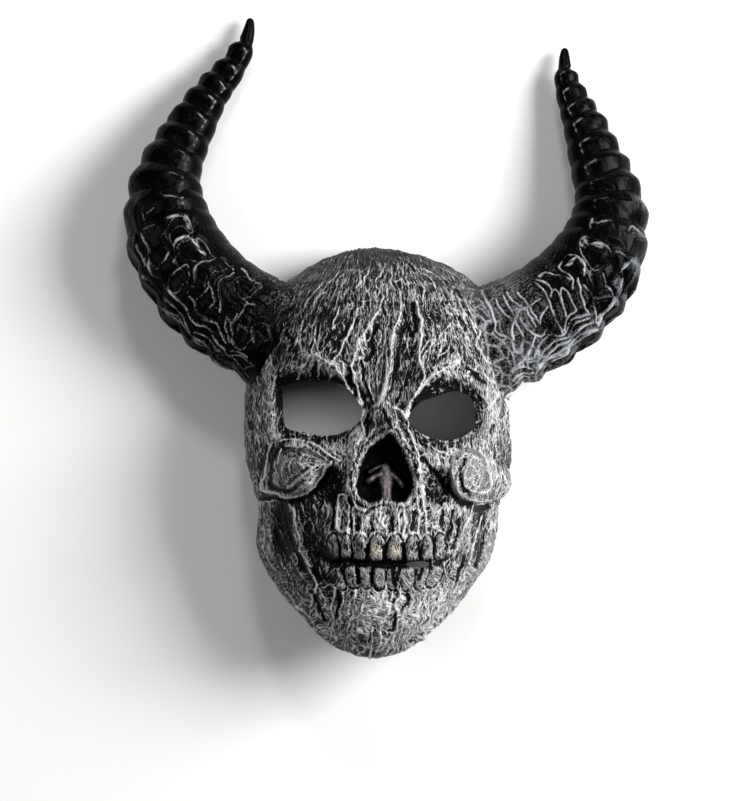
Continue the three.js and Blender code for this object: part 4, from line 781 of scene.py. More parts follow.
def flow(x, y):
    """Coordinates across and along the veins. They gather at the crown and the root of the nose."""
    off = x - FLOW_PINCH["x"]
    gather = read_table(FLOW_GATHER["y"], FLOW_GATHER["breadth"], y)
    above = y - FLOW_PINCH["y"]
    near = np.where(above > 0, bump(above, FLOW_PINCH["above"]), bump(above, FLOW_PINCH["below"]))
    pinch = 1 + FLOW_PINCH["strength"] * near * bump(off, FLOW_PINCH["reach"])
    chin = smoothstep(FLOW_CHIN["from"], FLOW_CHIN["to"], y)
    loose = 1 + FLOW_CHIN["loose"] * chin
    across = off / gather * pinch * (1 - FLOW_CHIN["across"] * chin)
    across += loose * wobble(x, y, "flow_across")
    across += wobble(x, y, "flow_curl")
    along = y + FLOW_CHIN["along"] * chin * (y - FLOW_CHIN["from"]) + loose * wobble(x, y, "flow_along")
    for outline in CHEEKBONES:
        middle = np.mean(outline, axis=0)
        off_rim = distance_to_outline(x, y, smooth_line(outline, 60, closed=True))
        round_it = FLOW_CHEEK["turn"] * np.arctan2(y - middle[1], x - middle[0])
        within = smoothstep(*FLOW_CHEEK["within"], off_rim)
        across = across * (1 - within) + (off_rim + wobble(x, y, "cheek_rim")) * within
        along = along * (1 - within) + round_it * within
    return across, along


def net_strands(name, across, along, x, y):
    """The strands of one net of the skin, from 0 to 1. They are stronger in some places than in others."""
    net = NETS[name]
    distance = net_distance(across, along, *net["mesh"], net["seed"])
    return np.clip(uneven(x, y, name), 0, 1) * bump(distance, net["half"])


def nose_rope(x, y, off_nose):
    """The rope of beads round the nose, and the groove between its two strands."""
    off = off_nose + wobble(x, y, "rope")
    inner, groove, outer = (bump(off - ROPE[part], ROPE["half"]) for part in ("strand", "groove", "outer"))
    return uneven(x, y, "beads") * np.maximum(inner, OUTER_ROPE * outer), groove


def blur(field, cells, reach):
    """A grid of values averaged over squares, twice."""
    grid = field.reshape(cells + 1, cells + 1)
    for _ in range(2):
        for axis in (0, 1):
            before = np.repeat(grid.take([0], axis), reach + 1, axis)
            beyond = np.repeat(grid.take([-1], axis), reach, axis)
            total = np.cumsum(np.concatenate([before, grid, beyond], axis), axis)
            count = grid.shape[axis]
            ahead = total.take(range(2 * reach + 1, 2 * reach + 1 + count), axis)
            behind = total.take(range(0, count), axis)
            grid = (ahead - behind) / (2 * reach + 1)
    return grid.ravel()


class Face:
    """The moulded face, outside and inside, as points over a disc."""

    def __init__(self, look):
        self.cells = look.cells
        self.inner_cells = look.inner_cells
        self.skin = look.skin / MM
        self.vein_share = look.vein_height / MM / VEIN_FORMS["bold"][0]
        self.eyes = {
            "left": smooth_line(EYE_LEFT, 36, closed=True),
            "right": smooth_line(EYE_RIGHT, 36, closed=True),
            "slit": self.slit(),
        }
        self.nose = smooth_line(NOSE, 56, closed=True)

    @staticmethod
    def slit():
        turns = np.linspace(0, 2 * math.pi, 24, endpoint=False)
        x = MOUTH_SLIT["x"] + MOUTH_SLIT["length"] / 2 * np.cos(turns)
        y = MOUTH_SLIT["y"] + MOUTH_SLIT["height"] / 2 * np.sin(turns)
        return np.stack([x, y], axis=1)

    def outlines(self, x, y):
        away = {name: distance_to_outline(x, y, outline) for name, outline in self.eyes.items()}
        away["nose"] = distance_to_outline(x, y, self.nose)
        return away

    def carved(self, p, q, relief, inset):
        """Dome points moved by a relief, straight out in front and square to the wall at the sides."""
        points = dome(p, q)
        normal = dome_normal(p, q)
        forwards = smoothstep(0.15, 0.5, normal[:, 2:])
        direction = normal * (1 - forwards) + np.array([0, 0, 1]) * forwards
        direction /= np.linalg.norm(direction, axis=1, keepdims=True)
        ring = np.maximum(1e-9, np.hypot(p, q))
        share = smoothstep(0, CARVING_FADE, points[:, 2] - rim_height(-q / ring))
        return points + direction * (relief * share)[:, None] - normal * inset

    def outside(self):
        """The points of the outside, where paint would catch on them, and the distances to the openings."""
        p, q = disc_grid(self.cells)
        closer = FRONT_SHARE + (1 - FRONT_SHARE) * np.hypot(p, q) ** 3
        p, q = p * closer, q * closer
        x, y = dome(p, q)[:, :2].T
        away = self.outlines(x, y)
        fine = self.fine_relief(p, q, x, y, away)
        form = proud(x, y, away) - sunk(x, y, 0, away)
        relief = form + swollen(x, y) + fine.pop("height")
        for name, height in (("broad", form), ("edge", relief)):
            reach, full, limits = PROUDER[name]
            fine[name] = np.clip((height - blur(height, self.cells, reach)) / full, *limits)
        # This holds painted shade and painted light as well as how freely the brush went
        fine["brushing_and_shade"] = self.brushing_and_shade(x, y, away)
        return self.carved(p, q, relief, 0), fine, away

    def inside(self):
        p, q = disc_grid(self.inner_cells)
        x, y = dome(p, q)[:, :2].T
        away = self.outlines(x, y)
        return self.carved(p, q, -sunk(x, y, self.skin, away), self.skin), away

    def brushing_and_shade(self, x, y, away):
        """How much paint each part of the face shows, from the patches and round the eye holes: how freely
        the brush went, with painted shade and painted light besides.
        """
        paint = np.zeros_like(x)
        for cx, cy, rx, ry, amount in PAINT_AND_SHADE_PATCHES:
            paint += amount * np.exp(-(((x - cx) / rx) ** 2 + ((y - cy) / ry) ** 2))
        for eye, (level, reach) in EYE_ROOFS.items():
            # Painted shade: the roof of each eye hole, under the brow, is darkened besides being bare of
            # paint
            above = smoothstep(*(level + fade for fade in ROOF_SHADE["fades"]), y)
            paint -= ROOF_SHADE["bare"] * (1 - smoothstep(ROOF_SHADE["start"], reach, away[eye])) * above
            below = smoothstep(*(level + fade for fade in LID["fades"]), y)
            paint += LID["paint"] * (1 - smoothstep(*LID["reach"], away[eye])) * below
        return paint

    def drawn_lines(self, x, y):
        """Height of the drawn veins and depth of the grooves, and how far each of them holds the finish."""
        wx, wy = x + wobble(x, y, "line_x"), y + wobble(x, y, "line_y")
        height, on_vein = np.zeros_like(x), np.zeros_like(x)
        for kind, lines in (("bold", BOLD_VEINS), ("fine", FINE_VEINS)):
            high, width, catch = VEIN_FORMS[kind]
            high = high * self.vein_share
            raised, off = raised_lines(wx, wy, [(line, high, width) for line in lines])
            height += raised - DITCH["share"] * high * bump(off - DITCH["away"], DITCH["width"])
            on_vein = np.maximum(on_vein, bump(off, PAINTED_WIDTH) * catch)
        deep, width, catch = VEIN_FORMS["groove"]
        cuts, off = raised_lines(wx, wy, [(line, deep, width) for line in GROOVES])
        return height, on_vein * uneven(x, y, "lines"), cuts, bump(off, PAINTED_WIDTH) * catch

    def fine_relief(self, p, q, x, y, away):
        """Veins, teeth and gums: their height, and where drybrushed paint would catch."""
        ux, uy = unrolled(p, q)
        across, along = flow(ux, y + UNROLLED_SHARE * (uy - y))
        strands = net_strands("strands", across, along, ux, uy)
        threads = net_strands("threads", across + wobble(ux, uy, "threads"), along, ux, uy)
        drawn, on_vein, cuts, in_groove = self.drawn_lines(x, y)
        mouth = teeth(x, y)
        gum = mouth["gum"] * (1 - mouth["tooth"])
        in_nose = 1 - smoothstep(*NOSE_EDGES["dark"], away["nose"])
        quiet = (1 - ON_TOOTH * mouth["tooth"]) * (1 - in_nose)
        rope, rope_groove = nose_rope(x, y, away["nose"])
        net = NETS["strands"]["height"] * strands + NETS["threads"]["height"] * threads
        height = quiet * (net + drawn + wobble(ux, uy, "lumps")) - cuts
        height = height + GUM["height"] * gum + mouth["height"]
        return {
            "height": height + ROPE["height"] * rope - ROPE["depth"] * rope_groove,
            "strands": strands * quiet,
            "threads": threads * quiet,
            "lines": np.maximum.reduce([
                on_vein * quiet, CATCHES["gum"] * gum, CATCHES["tooth_rim"] * mouth["rim"],
                CATCHES["rope"] * rope,
            ]),
            "groove": np.maximum.reduce([
                in_groove, DARKS["nose"] * in_nose, DARKS["tooth_gap"] * mouth["gap"] * (1 - mouth["gum"]),
                DARKS["rope"] * rope_groove,
            ]),
            "tooth": mouth["tooth"],
            "ivory": mouth["ivory"],
            "septum": in_nose * smoothstep(0.3, 0.9, septum_height(x, y) / SEPTUM["height"]),
            "flow": np.stack([across, along, np.zeros_like(x)], axis=1),
        }


def border_of(cells):
    """The numbers of a square grid's border points, once round it."""
    side = cells + 1
    last = side * side - 1
    there = [*range(cells), *range(cells, last, side)]
    return there + [*range(last, last - cells, -1), *range(cells * side, 0, -side)]


def quads_of(cells):
    side = cells + 1
    j, i = np.mgrid[0:cells, 0:cells]
    corner = (j * side + i).ravel()
    return np.stack([corner, corner + 1, corner + side + 1, corner + side], axis=1)


def loops_round_holes(quads, dropped):
    """The closed loops of points round the faces that were left out."""
    edges = {(int(a), int(b)) for quad in quads[dropped] for a, b in zip(quad, np.roll(quad, -1))}
    following = {a: b for a, b in edges if (b, a) not in edges}
    loops = []
    while following:
        start, here = following.popitem()
        loop = [start]
        while here != start:
            loop.append(here)
            here = following.pop(here)
        loops.append(loop)
    return loops


def nearest_on_outline(points, outline):
    """The places on a closed outline that are nearest to the points."""
    starts = outline
    ways = np.roll(outline, -1, axis=0) - outline
    off = points[:, None, :] - starts[None]
    t = np.clip((off * ways).sum(-1) / (ways * ways).sum(-1), 0, 1)
    places = starts + t[..., None] * ways
    nearest = np.argmin(np.linalg.norm(points[:, None] - places, axis=-1), axis=1)
    return places[np.arange(len(points)), nearest]


def turned_to_start(loop, points, start):
    """A loop of points in anticlockwise order seen from the front, from the one nearest to a place."""
    flat = points[loop][:, :2]
    after = np.roll(flat, -1, axis=0)
    if (flat[:, 0] * after[:, 1] - after[:, 0] * flat[:, 1]).sum() < 0:
        loop = loop[::-1]
        flat = flat[::-1]
    first = int(np.argmin(np.linalg.norm(flat - start, axis=1)))
    return loop[first:] + loop[:first]


def zipped(outer, inner, points):
    """Triangles that join two loops which run the same way round from like places."""
    def walked(loop):
        around = points[loop + loop[:1]][:, :2]
        steps = np.linalg.norm(np.diff(around, axis=0), axis=1)
        return np.concatenate([[0], np.cumsum(steps)]) / steps.sum()

    out_walk, in_walk = walked(outer), walked(inner)
    i = j = 0
    faces = []
    while i < len(outer) or j < len(inner):
        step_outer = j == len(inner) or (i < len(outer) and out_walk[i + 1] <= in_walk[j + 1])
        a, b = outer[i % len(outer)], inner[j % len(inner)]
        if step_outer:
            i += 1
            faces.append((a, outer[i % len(outer)], b))
        else:
            j += 1
            faces.append((a, inner[j % len(inner)], b))
    return faces


def make_piece(name, points, faces, attributes, offset):
    """A mesh object from points in millimetres, with a value for each point under each attribute's name."""
    mesh = bpy.data.meshes.new(name)
    placed = (points + np.array([offset[0], offset[1], 0])) * MM
    mesh.from_pydata(placed.tolist(), [], faces)
    mesh.update()
    for key, values in attributes.items():
        kind, slot = ("FLOAT_VECTOR", "vector") if values.ndim == 2 else ("FLOAT", "value")
        layer = mesh.attributes.new(key, kind, "POINT")
        layer.data.foreach_set(slot, values.astype(np.float32).ravel())
    piece = bpy.data.objects.new(name, mesh)
    bpy.context.scene.collection.objects.link(piece)
    work = bmesh.new()
    work.from_mesh(mesh)
    bmesh.ops.recalc_face_normals(work, faces=work.faces)
    loose = [v for v in work.verts if not v.link_faces]
    bmesh.ops.delete(work, geom=loose, context="VERTS")
    work.to_mesh(mesh)
    work.free()
    mesh.shade_smooth()
    return piece


def frame_offset():
    """How far the frame's origin lies from the origin of the sizes above."""
    low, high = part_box("mask_face")
    turns = np.linspace(0, 2 * math.pi, 720)
    rings = np.linspace(0.5, 1, 26)
    edge = np.concatenate([dome(np.cos(turns) * ring, np.sin(turns) * ring) for ring in rings])
    middle = (edge[:, :2].min(0) + edge[:, :2].max(0)) / 2
    return np.array([low.x + high.x, low.y + high.y]) / 2 / MM - middle


def face_mesh(face):
    """Points, faces and finish of the closed shell, with its eye holes and mouth slit."""
    outside, fine, away_outside = face.outside()
    inside, away_inside = face.inside()
    points = np.concatenate([outside, inside])
    faces = []
    loops = {}
    layers = (
        ("outside", face.cells, away_outside, 0),
        ("inside", face.inner_cells, away_inside, len(outside)),
    )
    for side, cells, away, first in layers:
        quads = quads_of(cells)
        dropped = np.zeros(len(quads), bool)
        for name, outline in face.eyes.items():
            out = away[name][quads].min(axis=1) < 0
            dropped |= out
            for loop in loops_round_holes(quads, out):
                loop = [first + k for k in loop]
                flat = nearest_on_outline(points[loop][:, :2], outline)
                points[loop, :2] = flat
                loops[side, name] = turned_to_start(loop, points, outline[0])
        kept = quads[~dropped] + first
        faces += (kept if side == "outside" else kept[:, ::-1]).tolist()
        rim = [first + k for k in border_of(cells)]
        loops[side, "rim"] = turned_to_start(rim, points, points[rim[0]][:2])
    for name in (*face.eyes, "rim"):
        faces += zipped(loops["outside", name], loops["inside", name], points)
    bare = np.concatenate([np.zeros(len(outside)), np.ones(len(inside))])
    attributes = {"bare": bare}
    for key, values in fine.items():
        still = np.zeros((len(inside), *values.shape[1:]))
        attributes[key] = np.concatenate([values, still])
    return points, faces, attributes


class Horn:
    """A ringed horn swept along its path, which starts inside the wall of the face."""

    def __init__(self, stations, notches, rims, brushed, look, seed):
        stations = np.array(stations, float)
        self.rims = [(line, look.rim_height / MM, RIM["width"]) for line in rims]
        self.brushed = brushed
        self.rows, self.columns, self.seed = look.rows, look.columns, seed
        self.handed = np.sign(stations[0, 0])
        chords = np.linalg.norm(np.diff(stations[:, :3], axis=0), axis=1)
        self.length = chords.sum()
        self.places = np.concatenate([[0], np.cumsum(chords)]) / self.length
        self.thickness = stations[:, 3]
        self.path = smooth_line(stations[:, :3], 900)
        walked = np.concatenate([[0], np.cumsum(np.linalg.norm(np.diff(self.path, axis=0), axis=1))])
        self.path_share = walked / walked[-1]
        self.bounds = np.array([0, *notches, 1])
        self.rings = len(notches) - 1

    def on_path(self, share):
        return np.stack([np.interp(share, self.path_share, self.path[:, k]) for k in range(3)], axis=-1)

    def tangent(self, share):
        step = 0.004
        way = self.on_path(np.minimum(1, share + step)) - self.on_path(np.maximum(0, share - step))
        return way / np.linalg.norm(way, axis=-1, keepdims=True)

    def plate_across(self, ring, turn, half):
        """How far across its plate each place is, from 0 to 1, and how wide that plate is in millimetres."""
        broad = smoothstep(*BROAD_RINGS["plates"], ring)
        width = PLATE["width"] / half * (1 - broad) + (PLATE["end"] + PLATE["back_end"]) * broad
        v = (PLATE["end"] - turn) / width
        v = v + self.shaken("stagger", v, ring * 5.3) * (1 - broad)
        return v - np.floor(v), width * half

    def plate_top(self, ring, turn, half):
        """Where along the horn each plate ends, in rings. Its end is arched."""
        u, _ = self.plate_across(ring, turn, half)
        lower = 1 - smoothstep(*BROAD_RINGS["arches"], ring)
        arch = (PLATE["arch"] * lower + PLATE["least_arch"]) * abs(2 * u - 1) ** 3
        covered = smoothstep(*(PLATE["end"] + fade for fade in PLATE["fade"]), turn)
        covered = covered * smoothstep(-PLATE["back_end"], PLATE_BACK, turn)
        on_ring = (ring >= 0) & (ring < self.rings)
        return ring + 1 - arch * covered * on_ring

    def ring_rise(self, ring, phase):
        """How high the rings stand, from 0 in a notch to 1, and the plain root and tip a little lower."""
        lean = np.where(phase < RING_PEAK, 1 - phase / RING_PEAK, (phase - RING_PEAK) / (1 - RING_PEAK))
        root = SMOOTH_RISE * smoothstep(0, 0.3, 1 - phase)
        tip = SMOOTH_RISE * smoothstep(0, 0.2, phase)
        return np.where(ring < 0, root, np.where(ring < self.rings, 1 - lean ** RING_SHARPNESS, tip))

    def shaken(self, name, x, y):
        """Noise from the table, different on each horn."""
        strength, scale, seed = HORN_NOISE[name]
        return strength * noise(x, y, scale, self.seed + seed)

    def net(self, name, girth, arc):
        """The strands of a net from the table, from 0 to 1."""
        net = HORN_NETS[name]
        return bump(net_distance(girth, arc, *net["mesh"], self.seed + net["seed"]), net["half"])

    def spot(self, share, turn, half):
        """Where each point is: along and round the horn, on which ring and plate, and on the plain strip."""
        at = SimpleNamespace(share=share, turn=turn, half=half, arc=share * self.length, girth=turn * half)
        at.front = np.clip(np.sin(turn), 0, 1)
        at.root = 1 - smoothstep(*ALONG["root"], share)
        at.bent = turn + self.shaken("bend", at.arc, at.girth)
        along = np.interp(share, self.bounds, np.arange(len(self.bounds)) - 1.0)
        wave = self.shaken("wave", at.girth, at.arc) + self.shaken("ripple", at.girth, at.arc)
        along = along + wave * at.front * (0.35 + 0.65 * at.root)
        ring = np.clip(np.floor(along), -1, self.rings)
        at.ring = ring = np.where(along < self.plate_top(ring, at.bent, half), ring, ring + 1)
        low, high = self.plate_top(ring - 1, at.bent, half), self.plate_top(ring, at.bent, half)
        at.phase = np.clip((along - low) / (high - low), 0, 1)
        spans = np.diff(self.bounds) * self.length
        at.pitch = spans[np.clip(ring + 1, 0, self.rings + 1).astype(int)] * (high - low)
        at.upper = smoothstep(*BROAD_RINGS["seams"], ring)
        ends = PLATE["end"] + self.shaken("ring_end", ring * 3.7, ring * 1.3)
        soft = STRIP["soft"] + STRIP["softer"] * at.upper
        inner = smoothstep(ends - soft, ends + STRIP["over"], at.bent)
        back = smoothstep(-PLATE["back_end"], -PLATE["back_end"] - STRIP["back"], at.bent)
        at.strip = np.maximum(inner, back)
        at.plated = (ring >= 0) & (ring < self.rings)
        at.plated = at.plated * (1 - at.strip) * smoothstep(*AROUND["plates"], turn)
        return at

    def ring_height(self, at):
        """How far the notches and the plain strip lie under the horn's full thickness."""
        outer = 0.5 + 0.5 * np.cos(at.turn)
        notch_share = RING_NOTCH["inner_share"] + (1 - RING_NOTCH["inner_share"]) * outer
        deep = (RING_NOTCH["least"] + RING_NOTCH["share"] * at.half) * notch_share
        notch = np.minimum(at.half * RING_NOTCH["most"], deep)
        calm = 1 - at.strip * (STRIP_CALM["all"] + STRIP_CALM["root"] * at.root)
        calm = calm - 0.5 * at.root * smoothstep(0.3, 0.8, at.front) * (1 - at.strip)
        ends = smoothstep(*ALONG["strip"], at.share) * smoothstep(*STRIP_TIP, at.share)
        sunk_strip = STRIP["depth"] * at.half * at.strip * ends
        return -notch * (1 - self.ring_rise(at.ring, at.phase)) * calm - sunk_strip

    def seams(self, at):
        """The depth of the seams between plates that lie side by side."""
        u, width = self.plate_across(at.ring, at.bent, at.half)
        to_side = np.minimum(u, 1 - u) * width
        parted = (SEAM["share"] * at.half + SEAM["root"] * at.root) * (1 - SEAM["upper"] * at.upper)
        return at.plated * parted * (1 - smoothstep(0, SEAM["width"], to_side))

    def rim_lines(self, at, x, y):
        """The height of the drawn rims on the front, and their paint."""
        bx, by = x + self.shaken("rim_x", x, y), y + self.shaken("rim_y", x, y)
        raised, off = raised_lines(bx, by, self.rims)
        in_front = smoothstep(*AROUND["rims"], np.sin(at.turn))
        ditch = RIM_DITCH["depth"] * bump(off - RIM_DITCH["away"], RIM_DITCH["width"])
        painted = bump(off, RIM["paint_width"]) * (0.58 + self.shaken("rim_fade", x, y))
        return in_front * (raised - ditch), in_front * painted * min(1, 0.74 + 0.22 * self.brushed)

    def corners(self, at):
        """Painted highlights: small glints painted on the corners where the upper rings turn to the inner
        side.
        """
        to_end = np.minimum(at.phase, 1 - at.phase) * at.pitch
        lit = bump(to_end - CORNER_GLINT["away"] * at.pitch, CORNER_GLINT["half"] * at.pitch)
        lit = lit * bump(at.turn - CORNER_GLINT["turn"], CORNER_GLINT["arc"]) * smoothstep(0.5, 0.6, at.phase)
        tail = bump(to_end - CORNER_GLINT_TAIL["away"] * at.pitch, CORNER_GLINT_TAIL["half"] * at.pitch)
        lit = lit + CORNER_GLINT_TAIL["share"] * tail * bump(at.turn - CORNER_GLINT_TAIL["turn"], CORNER_GLINT_TAIL["arc"])
        on_rings = (at.ring >= CORNER_GLINT["first_ring"]) & (at.ring < self.rings)
        return np.clip(lit, 0, 1) * on_rings * (0.7 + 0.3 * np.sin(7 * at.ring))

    def strands(self, at):
        """The layers under the root, the fibres of the plain strip and the web at the joint, from 0 to 1."""
        under = (1 - smoothstep(*AROUND["under"], at.turn)) * smoothstep(*AROUND["back"], at.turn) * at.root
        layers = self.net("layers", at.girth + self.shaken("layer_shift", at.arc, at.girth), at.arc)
        layers = layers * under * (0.6 + self.shaken("layer_fade", at.girth, at.arc))
        fibres = self.net("fibres", at.girth, at.arc) * at.strip * at.root
        web_girth = at.girth + self.shaken("web_round", at.arc, at.girth)
        web = self.net("web", web_girth, at.arc + self.shaken("web_along", at.arc, at.girth))
        web = web * (1 - smoothstep(*ALONG["joint"], at.share))
        web = web * np.clip(0.55 + self.shaken("web_fade", at.girth, at.arc), 0, 1)
        return {"layers": layers, "fibres": fibres, "web": web}

    def smeared_sheen(self, at, flutes):
        """Paint smeared thinly over the shoulders of the rings, most on the outer side, which also paints in
        a bluish sheen there.
        """
        shoulder = smoothstep(0.25, 0.6, at.phase) * (1 - smoothstep(0.8, 0.97, at.phase)) * at.plated
        outer = bump(at.turn - SMEAR_AND_SHEEN["turn"], SMEAR_AND_SHEEN["arc"])
        outer = outer * bump(at.share - SMEAR_AND_SHEEN["share"], SMEAR_AND_SHEEN["length"]) * min(1, 0.4 + 0.5 * self.brushed)
        return shoulder * (0.55 + 0.45 * flutes) * (outer + 0.12 * at.front)

    def relief(self, share, turn, half, x, y):
        """The height of the rings, plates and strands, where drybrushed paint would catch, and the painted
        glints and painted sheen.
        """
        at = self.spot(share, turn, half)
        flutes = self.shaken("flute", at.girth + self.shaken("flute_shift", at.arc, at.girth), at.arc)
        flutes = flutes * (0.6 + self.shaken("flute_fade", at.girth, at.arc))
        swell = self.shaken("swell", at.girth, at.arc)
        rims, drawn = self.rim_lines(at, x, y)
        strands = self.strands(at)
        height = self.ring_height(at) - self.seams(at) + (FLUTE_HEIGHT * flutes + swell) * at.plated + rims
        height = height + sum(HORN_NETS[name]["height"] * strand for name, strand in strands.items())
        on_web = HORN_CATCHES["web"] + HORN_CATCHES["brushed_web"] * self.brushed
        # The corners here are painted glints, which stand in for highlights
        lines = np.maximum.reduce([
            drawn, HORN_CATCHES["corners"] * self.corners(at), HORN_CATCHES["layers"] * strands["layers"],
            HORN_CATCHES["fibres"] * strands["fibres"], on_web * strands["web"],
        ])
        in_front = smoothstep(*AROUND["rims"], np.sin(turn))
        dust = self.brushed * (1 - smoothstep(*ALONG["dust"], share)) * (0.3 + 0.7 * in_front)
        return height, lines, self.smeared_sheen(at, flutes), dust

    def surface(self):
        """The tube's points, row by row from the wall of the face to the tip. They lie closer in front."""
        even = np.linspace(-math.pi, math.pi, self.columns, endpoint=False)
        turns = (even + 0.42 * np.cos(even) + math.pi) % (2 * math.pi) - math.pi
        share, turn = np.meshgrid(np.linspace(0, 1, self.rows), turns, indexing="ij")
        start = self.where_it_leaves(turns)
        share = share + start * (1 - smoothstep(0, 0.3, share)) * (1 - share)
        return share, turn

    def placed(self, share, turn, with_relief=True):
        """Points at shares of the length and turns round the horn, and where paint would catch on them."""
        half = read_table(self.places, self.thickness, share) / 2
        over = np.clip(share - (1 - TIP_ROUNDING), 0, 1) / TIP_ROUNDING
        half = half * np.sqrt(np.clip(1 - 0.98 * over ** 2, 0, 1))
        tangent = self.tangent(share)
        outwards = np.stack([tangent[..., 1], -tangent[..., 0], np.zeros_like(share)], axis=-1) * self.handed
        outwards /= np.linalg.norm(outwards, axis=-1, keepdims=True)
        forwards = np.cross(tangent, outwards) * -self.handed
        forwards /= np.linalg.norm(forwards, axis=-1, keepdims=True)
        height = np.zeros_like(share)
        finish = None
        if with_relief:
            plain, _ = self.placed(share, turn, with_relief=False)
            height, *finish = self.relief(share, turn, half, plain[..., 0], plain[..., 1])
        radius = (half + height)[..., None]
        on_outer, on_front = np.cos(turn)[..., None], np.sin(turn)[..., None]
        lean = radius * RING_LEAN * on_front * smoothstep(0, 0.1, 1 - share)[..., None]
        points = self.on_path(share) + outwards * radius * on_outer
        points = points + forwards * radius * HORN_FLATTENING * on_front + tangent * lean
        return points, finish

    def where_it_leaves(self, turns):
        """The share of the length at which each side of the horn comes out of the wall."""
        shares = np.linspace(0, LEAVES_WALL["within"], LEAVES_WALL["steps"])
        share, turn = np.meshgrid(shares, turns, indexing="ij")
        points, _ = self.placed(share, turn, with_relief=False)
        within = share_of_wall(points) < LEAVES_WALL["wall"]
        last = within.shape[0] - 1 - np.argmax(within[::-1], axis=0)
        return shares[np.where(within.any(axis=0), last, 0)]

    def mesh(self):
        """Points, faces and finish of the closed horn."""
        share, turn = self.surface()
        points, (lines, smear, dust) = self.placed(share, turn)
        rows, columns = share.shape
        cap = self.cap(points[0])
        hub, tip = (end.mean(axis=0, keepdims=True) for end in (cap[-1], points[-1]))
        flat = np.concatenate([points.reshape(-1, 3), cap[:-1].reshape(-1, 3), hub, tip])
        k = np.arange(columns)
        after = (k + 1) % columns
        last_row = (rows - 1) * columns
        faces = []
        for here in range(0, last_row, columns):
            there = here + columns
            faces += np.stack([here + k, here + after, there + after, there + k], axis=1).tolist()
        here = 0
        for ring in range(len(cap) - 1):
            there = (rows + ring) * columns
            faces += np.stack([here + k, there + k, there + after, here + after], axis=1).tolist()
            here = there
        hub_number, tip_number = len(flat) - 2, len(flat) - 1
        faces += [(here + int(a), hub_number, here + int(b)) for a, b in zip(k, after)]
        faces += [(last_row + int(a), last_row + int(b), tip_number) for a, b in zip(k, after)]
        attributes = {}
        for key, values in (("lines", lines), ("smear", smear), ("dust", dust), ("share", share)):
            attributes[key] = np.concatenate([values.ravel(), np.zeros(len(flat) - values.size)])
        return flat, faces, attributes

    def cap(self, edge):
        """Rings of points that close the horn inside the wall, following the curve of the wall."""
        middle = edge.mean(axis=0)
        rings = []
        for inward in CAP["rings"]:
            ring = edge + (middle - edge) * inward
            low = np.zeros(len(ring))
            high = np.full(len(ring), float(CAP["reach"]))
            for _ in range(CAP["halvings"]):
                half_way = (low + high) / 2
                ring[:, 0] = self.handed * half_way
                outside = share_of_wall(ring) > CAP["wall"]
                high = np.where(outside, half_way, high)
                low = np.where(outside, low, half_way)
            rings.append(ring)
        return np.stack(rings)


# What the meshes carry for their finish
SKIN_VALUES = (
    "strands", "threads", "lines", "groove", "tooth", "ivory", "septum", "bare", "broad", "edge", "brushing_and_shade",
)
HORN_VALUES = ("lines", "smear", "dust", "share")

# Nets in the paint: width and length of their meshes in millimetres, or the distance between lines. The
# hairs of the real paint are finer still and would blur, so they are as coarse as they need to be to show.
SKIN_MESHES = {"hairs": (1.7, 4.2), "mesh": (3.4, 9.5), "streaks": (2.6, 15)}
HORN_HAIRS = 2.4
LINE_BREADTHS = {"hairs": 0.22, "mesh": 0.13, "streaks": 0.07, "horn": 0.16}
LINE_CORE = 0.02
STREAK_CORE = 0.015

# Noise in the paint: the size of its grains in millimetres, detail and roughness
SHAKE = {"size": 3.5, "detail": 2.0, "by": 3.2}
SKIN_NOISE = {"grain": (1.1, 3.0, 0.7), "patches": (9, 3.0, 0.6)}
HORN_PAINT_NOISE = {"grain": (1.3, 3.0, 0.65), "patches": (14, 2.0, 0.5)}

# How much of each goes into the paint that catches, and into the bumps of the surface
PAINT_START = {"load": -0.2, "net": -0.3}
PAINT_LOAD = {"patches": 0.5, "broad": 0.3, "edge": 0.25, "brushing_and_shade": 1.0, "tooth": 0.1}
LOAD_LIMITS = (-0.45, 0.32)
NET_LOAD = {"hairs": 0.34, "mesh": 0.32, "streaks": 0.4, "threads": 0.25, "strands": 0.45, "grain": 0.4}
TOOTH_QUIET = {"tooth": -0.3}
LINE_LOAD = {"crisp": 0.65, "groove": -0.8, "tooth": 0.08, "ivory": 0.2}
SKIN_BUMPS = {"grain": 0.6, "mesh": 0.8, "streaks": 0.8, "crisp": 0.9}
HORN_LOAD = {"lines": 1.0, "dust": 0.26, "smear": 0.9, "patches": 0.5, "hairs": 0.13}

# Where the paint begins to catch and lies in full, thinly and then thickly
PAINT_COVERS = {"caught": (0.28, 0.62), "thick": (0.6, 1.15)}
LATEX_IOR = 1.5
PAPER_ROUGHNESS = 0.9


def linear(hex_colour):
    """A shader colour from an sRGB hex value."""
    channels = [int(hex_colour[k:k + 2], 16) / 255 for k in (1, 3, 5)]
    return [c / 12.92 if c <= 0.04045 else ((c + 0.055) / 1.055) ** 2.4 for c in channels] + [1]


def add_node(tree, kind, inputs=None, **settings):
    """Adds a node with its settings. An input is given a value, or a socket to link from."""
    node = tree.nodes.new(kind)
    for name, value in settings.items():
        setattr(node, name, value)
    for key, value in (inputs or {}).items():
        if isinstance(value, bpy.types.NodeSocket):
            tree.links.new(value, node.inputs[key])
        else:
            node.inputs[key].default_value = value
    return node


def new_material(name):
    """An empty material and its tree."""
    material = bpy.data.materials.new(name)
    material.use_nodes = True
    material.node_tree.nodes.clear()
    return material, material.node_tree


def weighted_sum(tree, total, sockets, weights):
    """Adds up sockets, each times its weight, from a value to start with."""
    for name, weight in weights.items():
        inputs = {0: sockets[name], 1: weight, 2: total}
        total = add_node(tree, "ShaderNodeMath", inputs, operation="MULTIPLY_ADD").outputs[0]
    return total


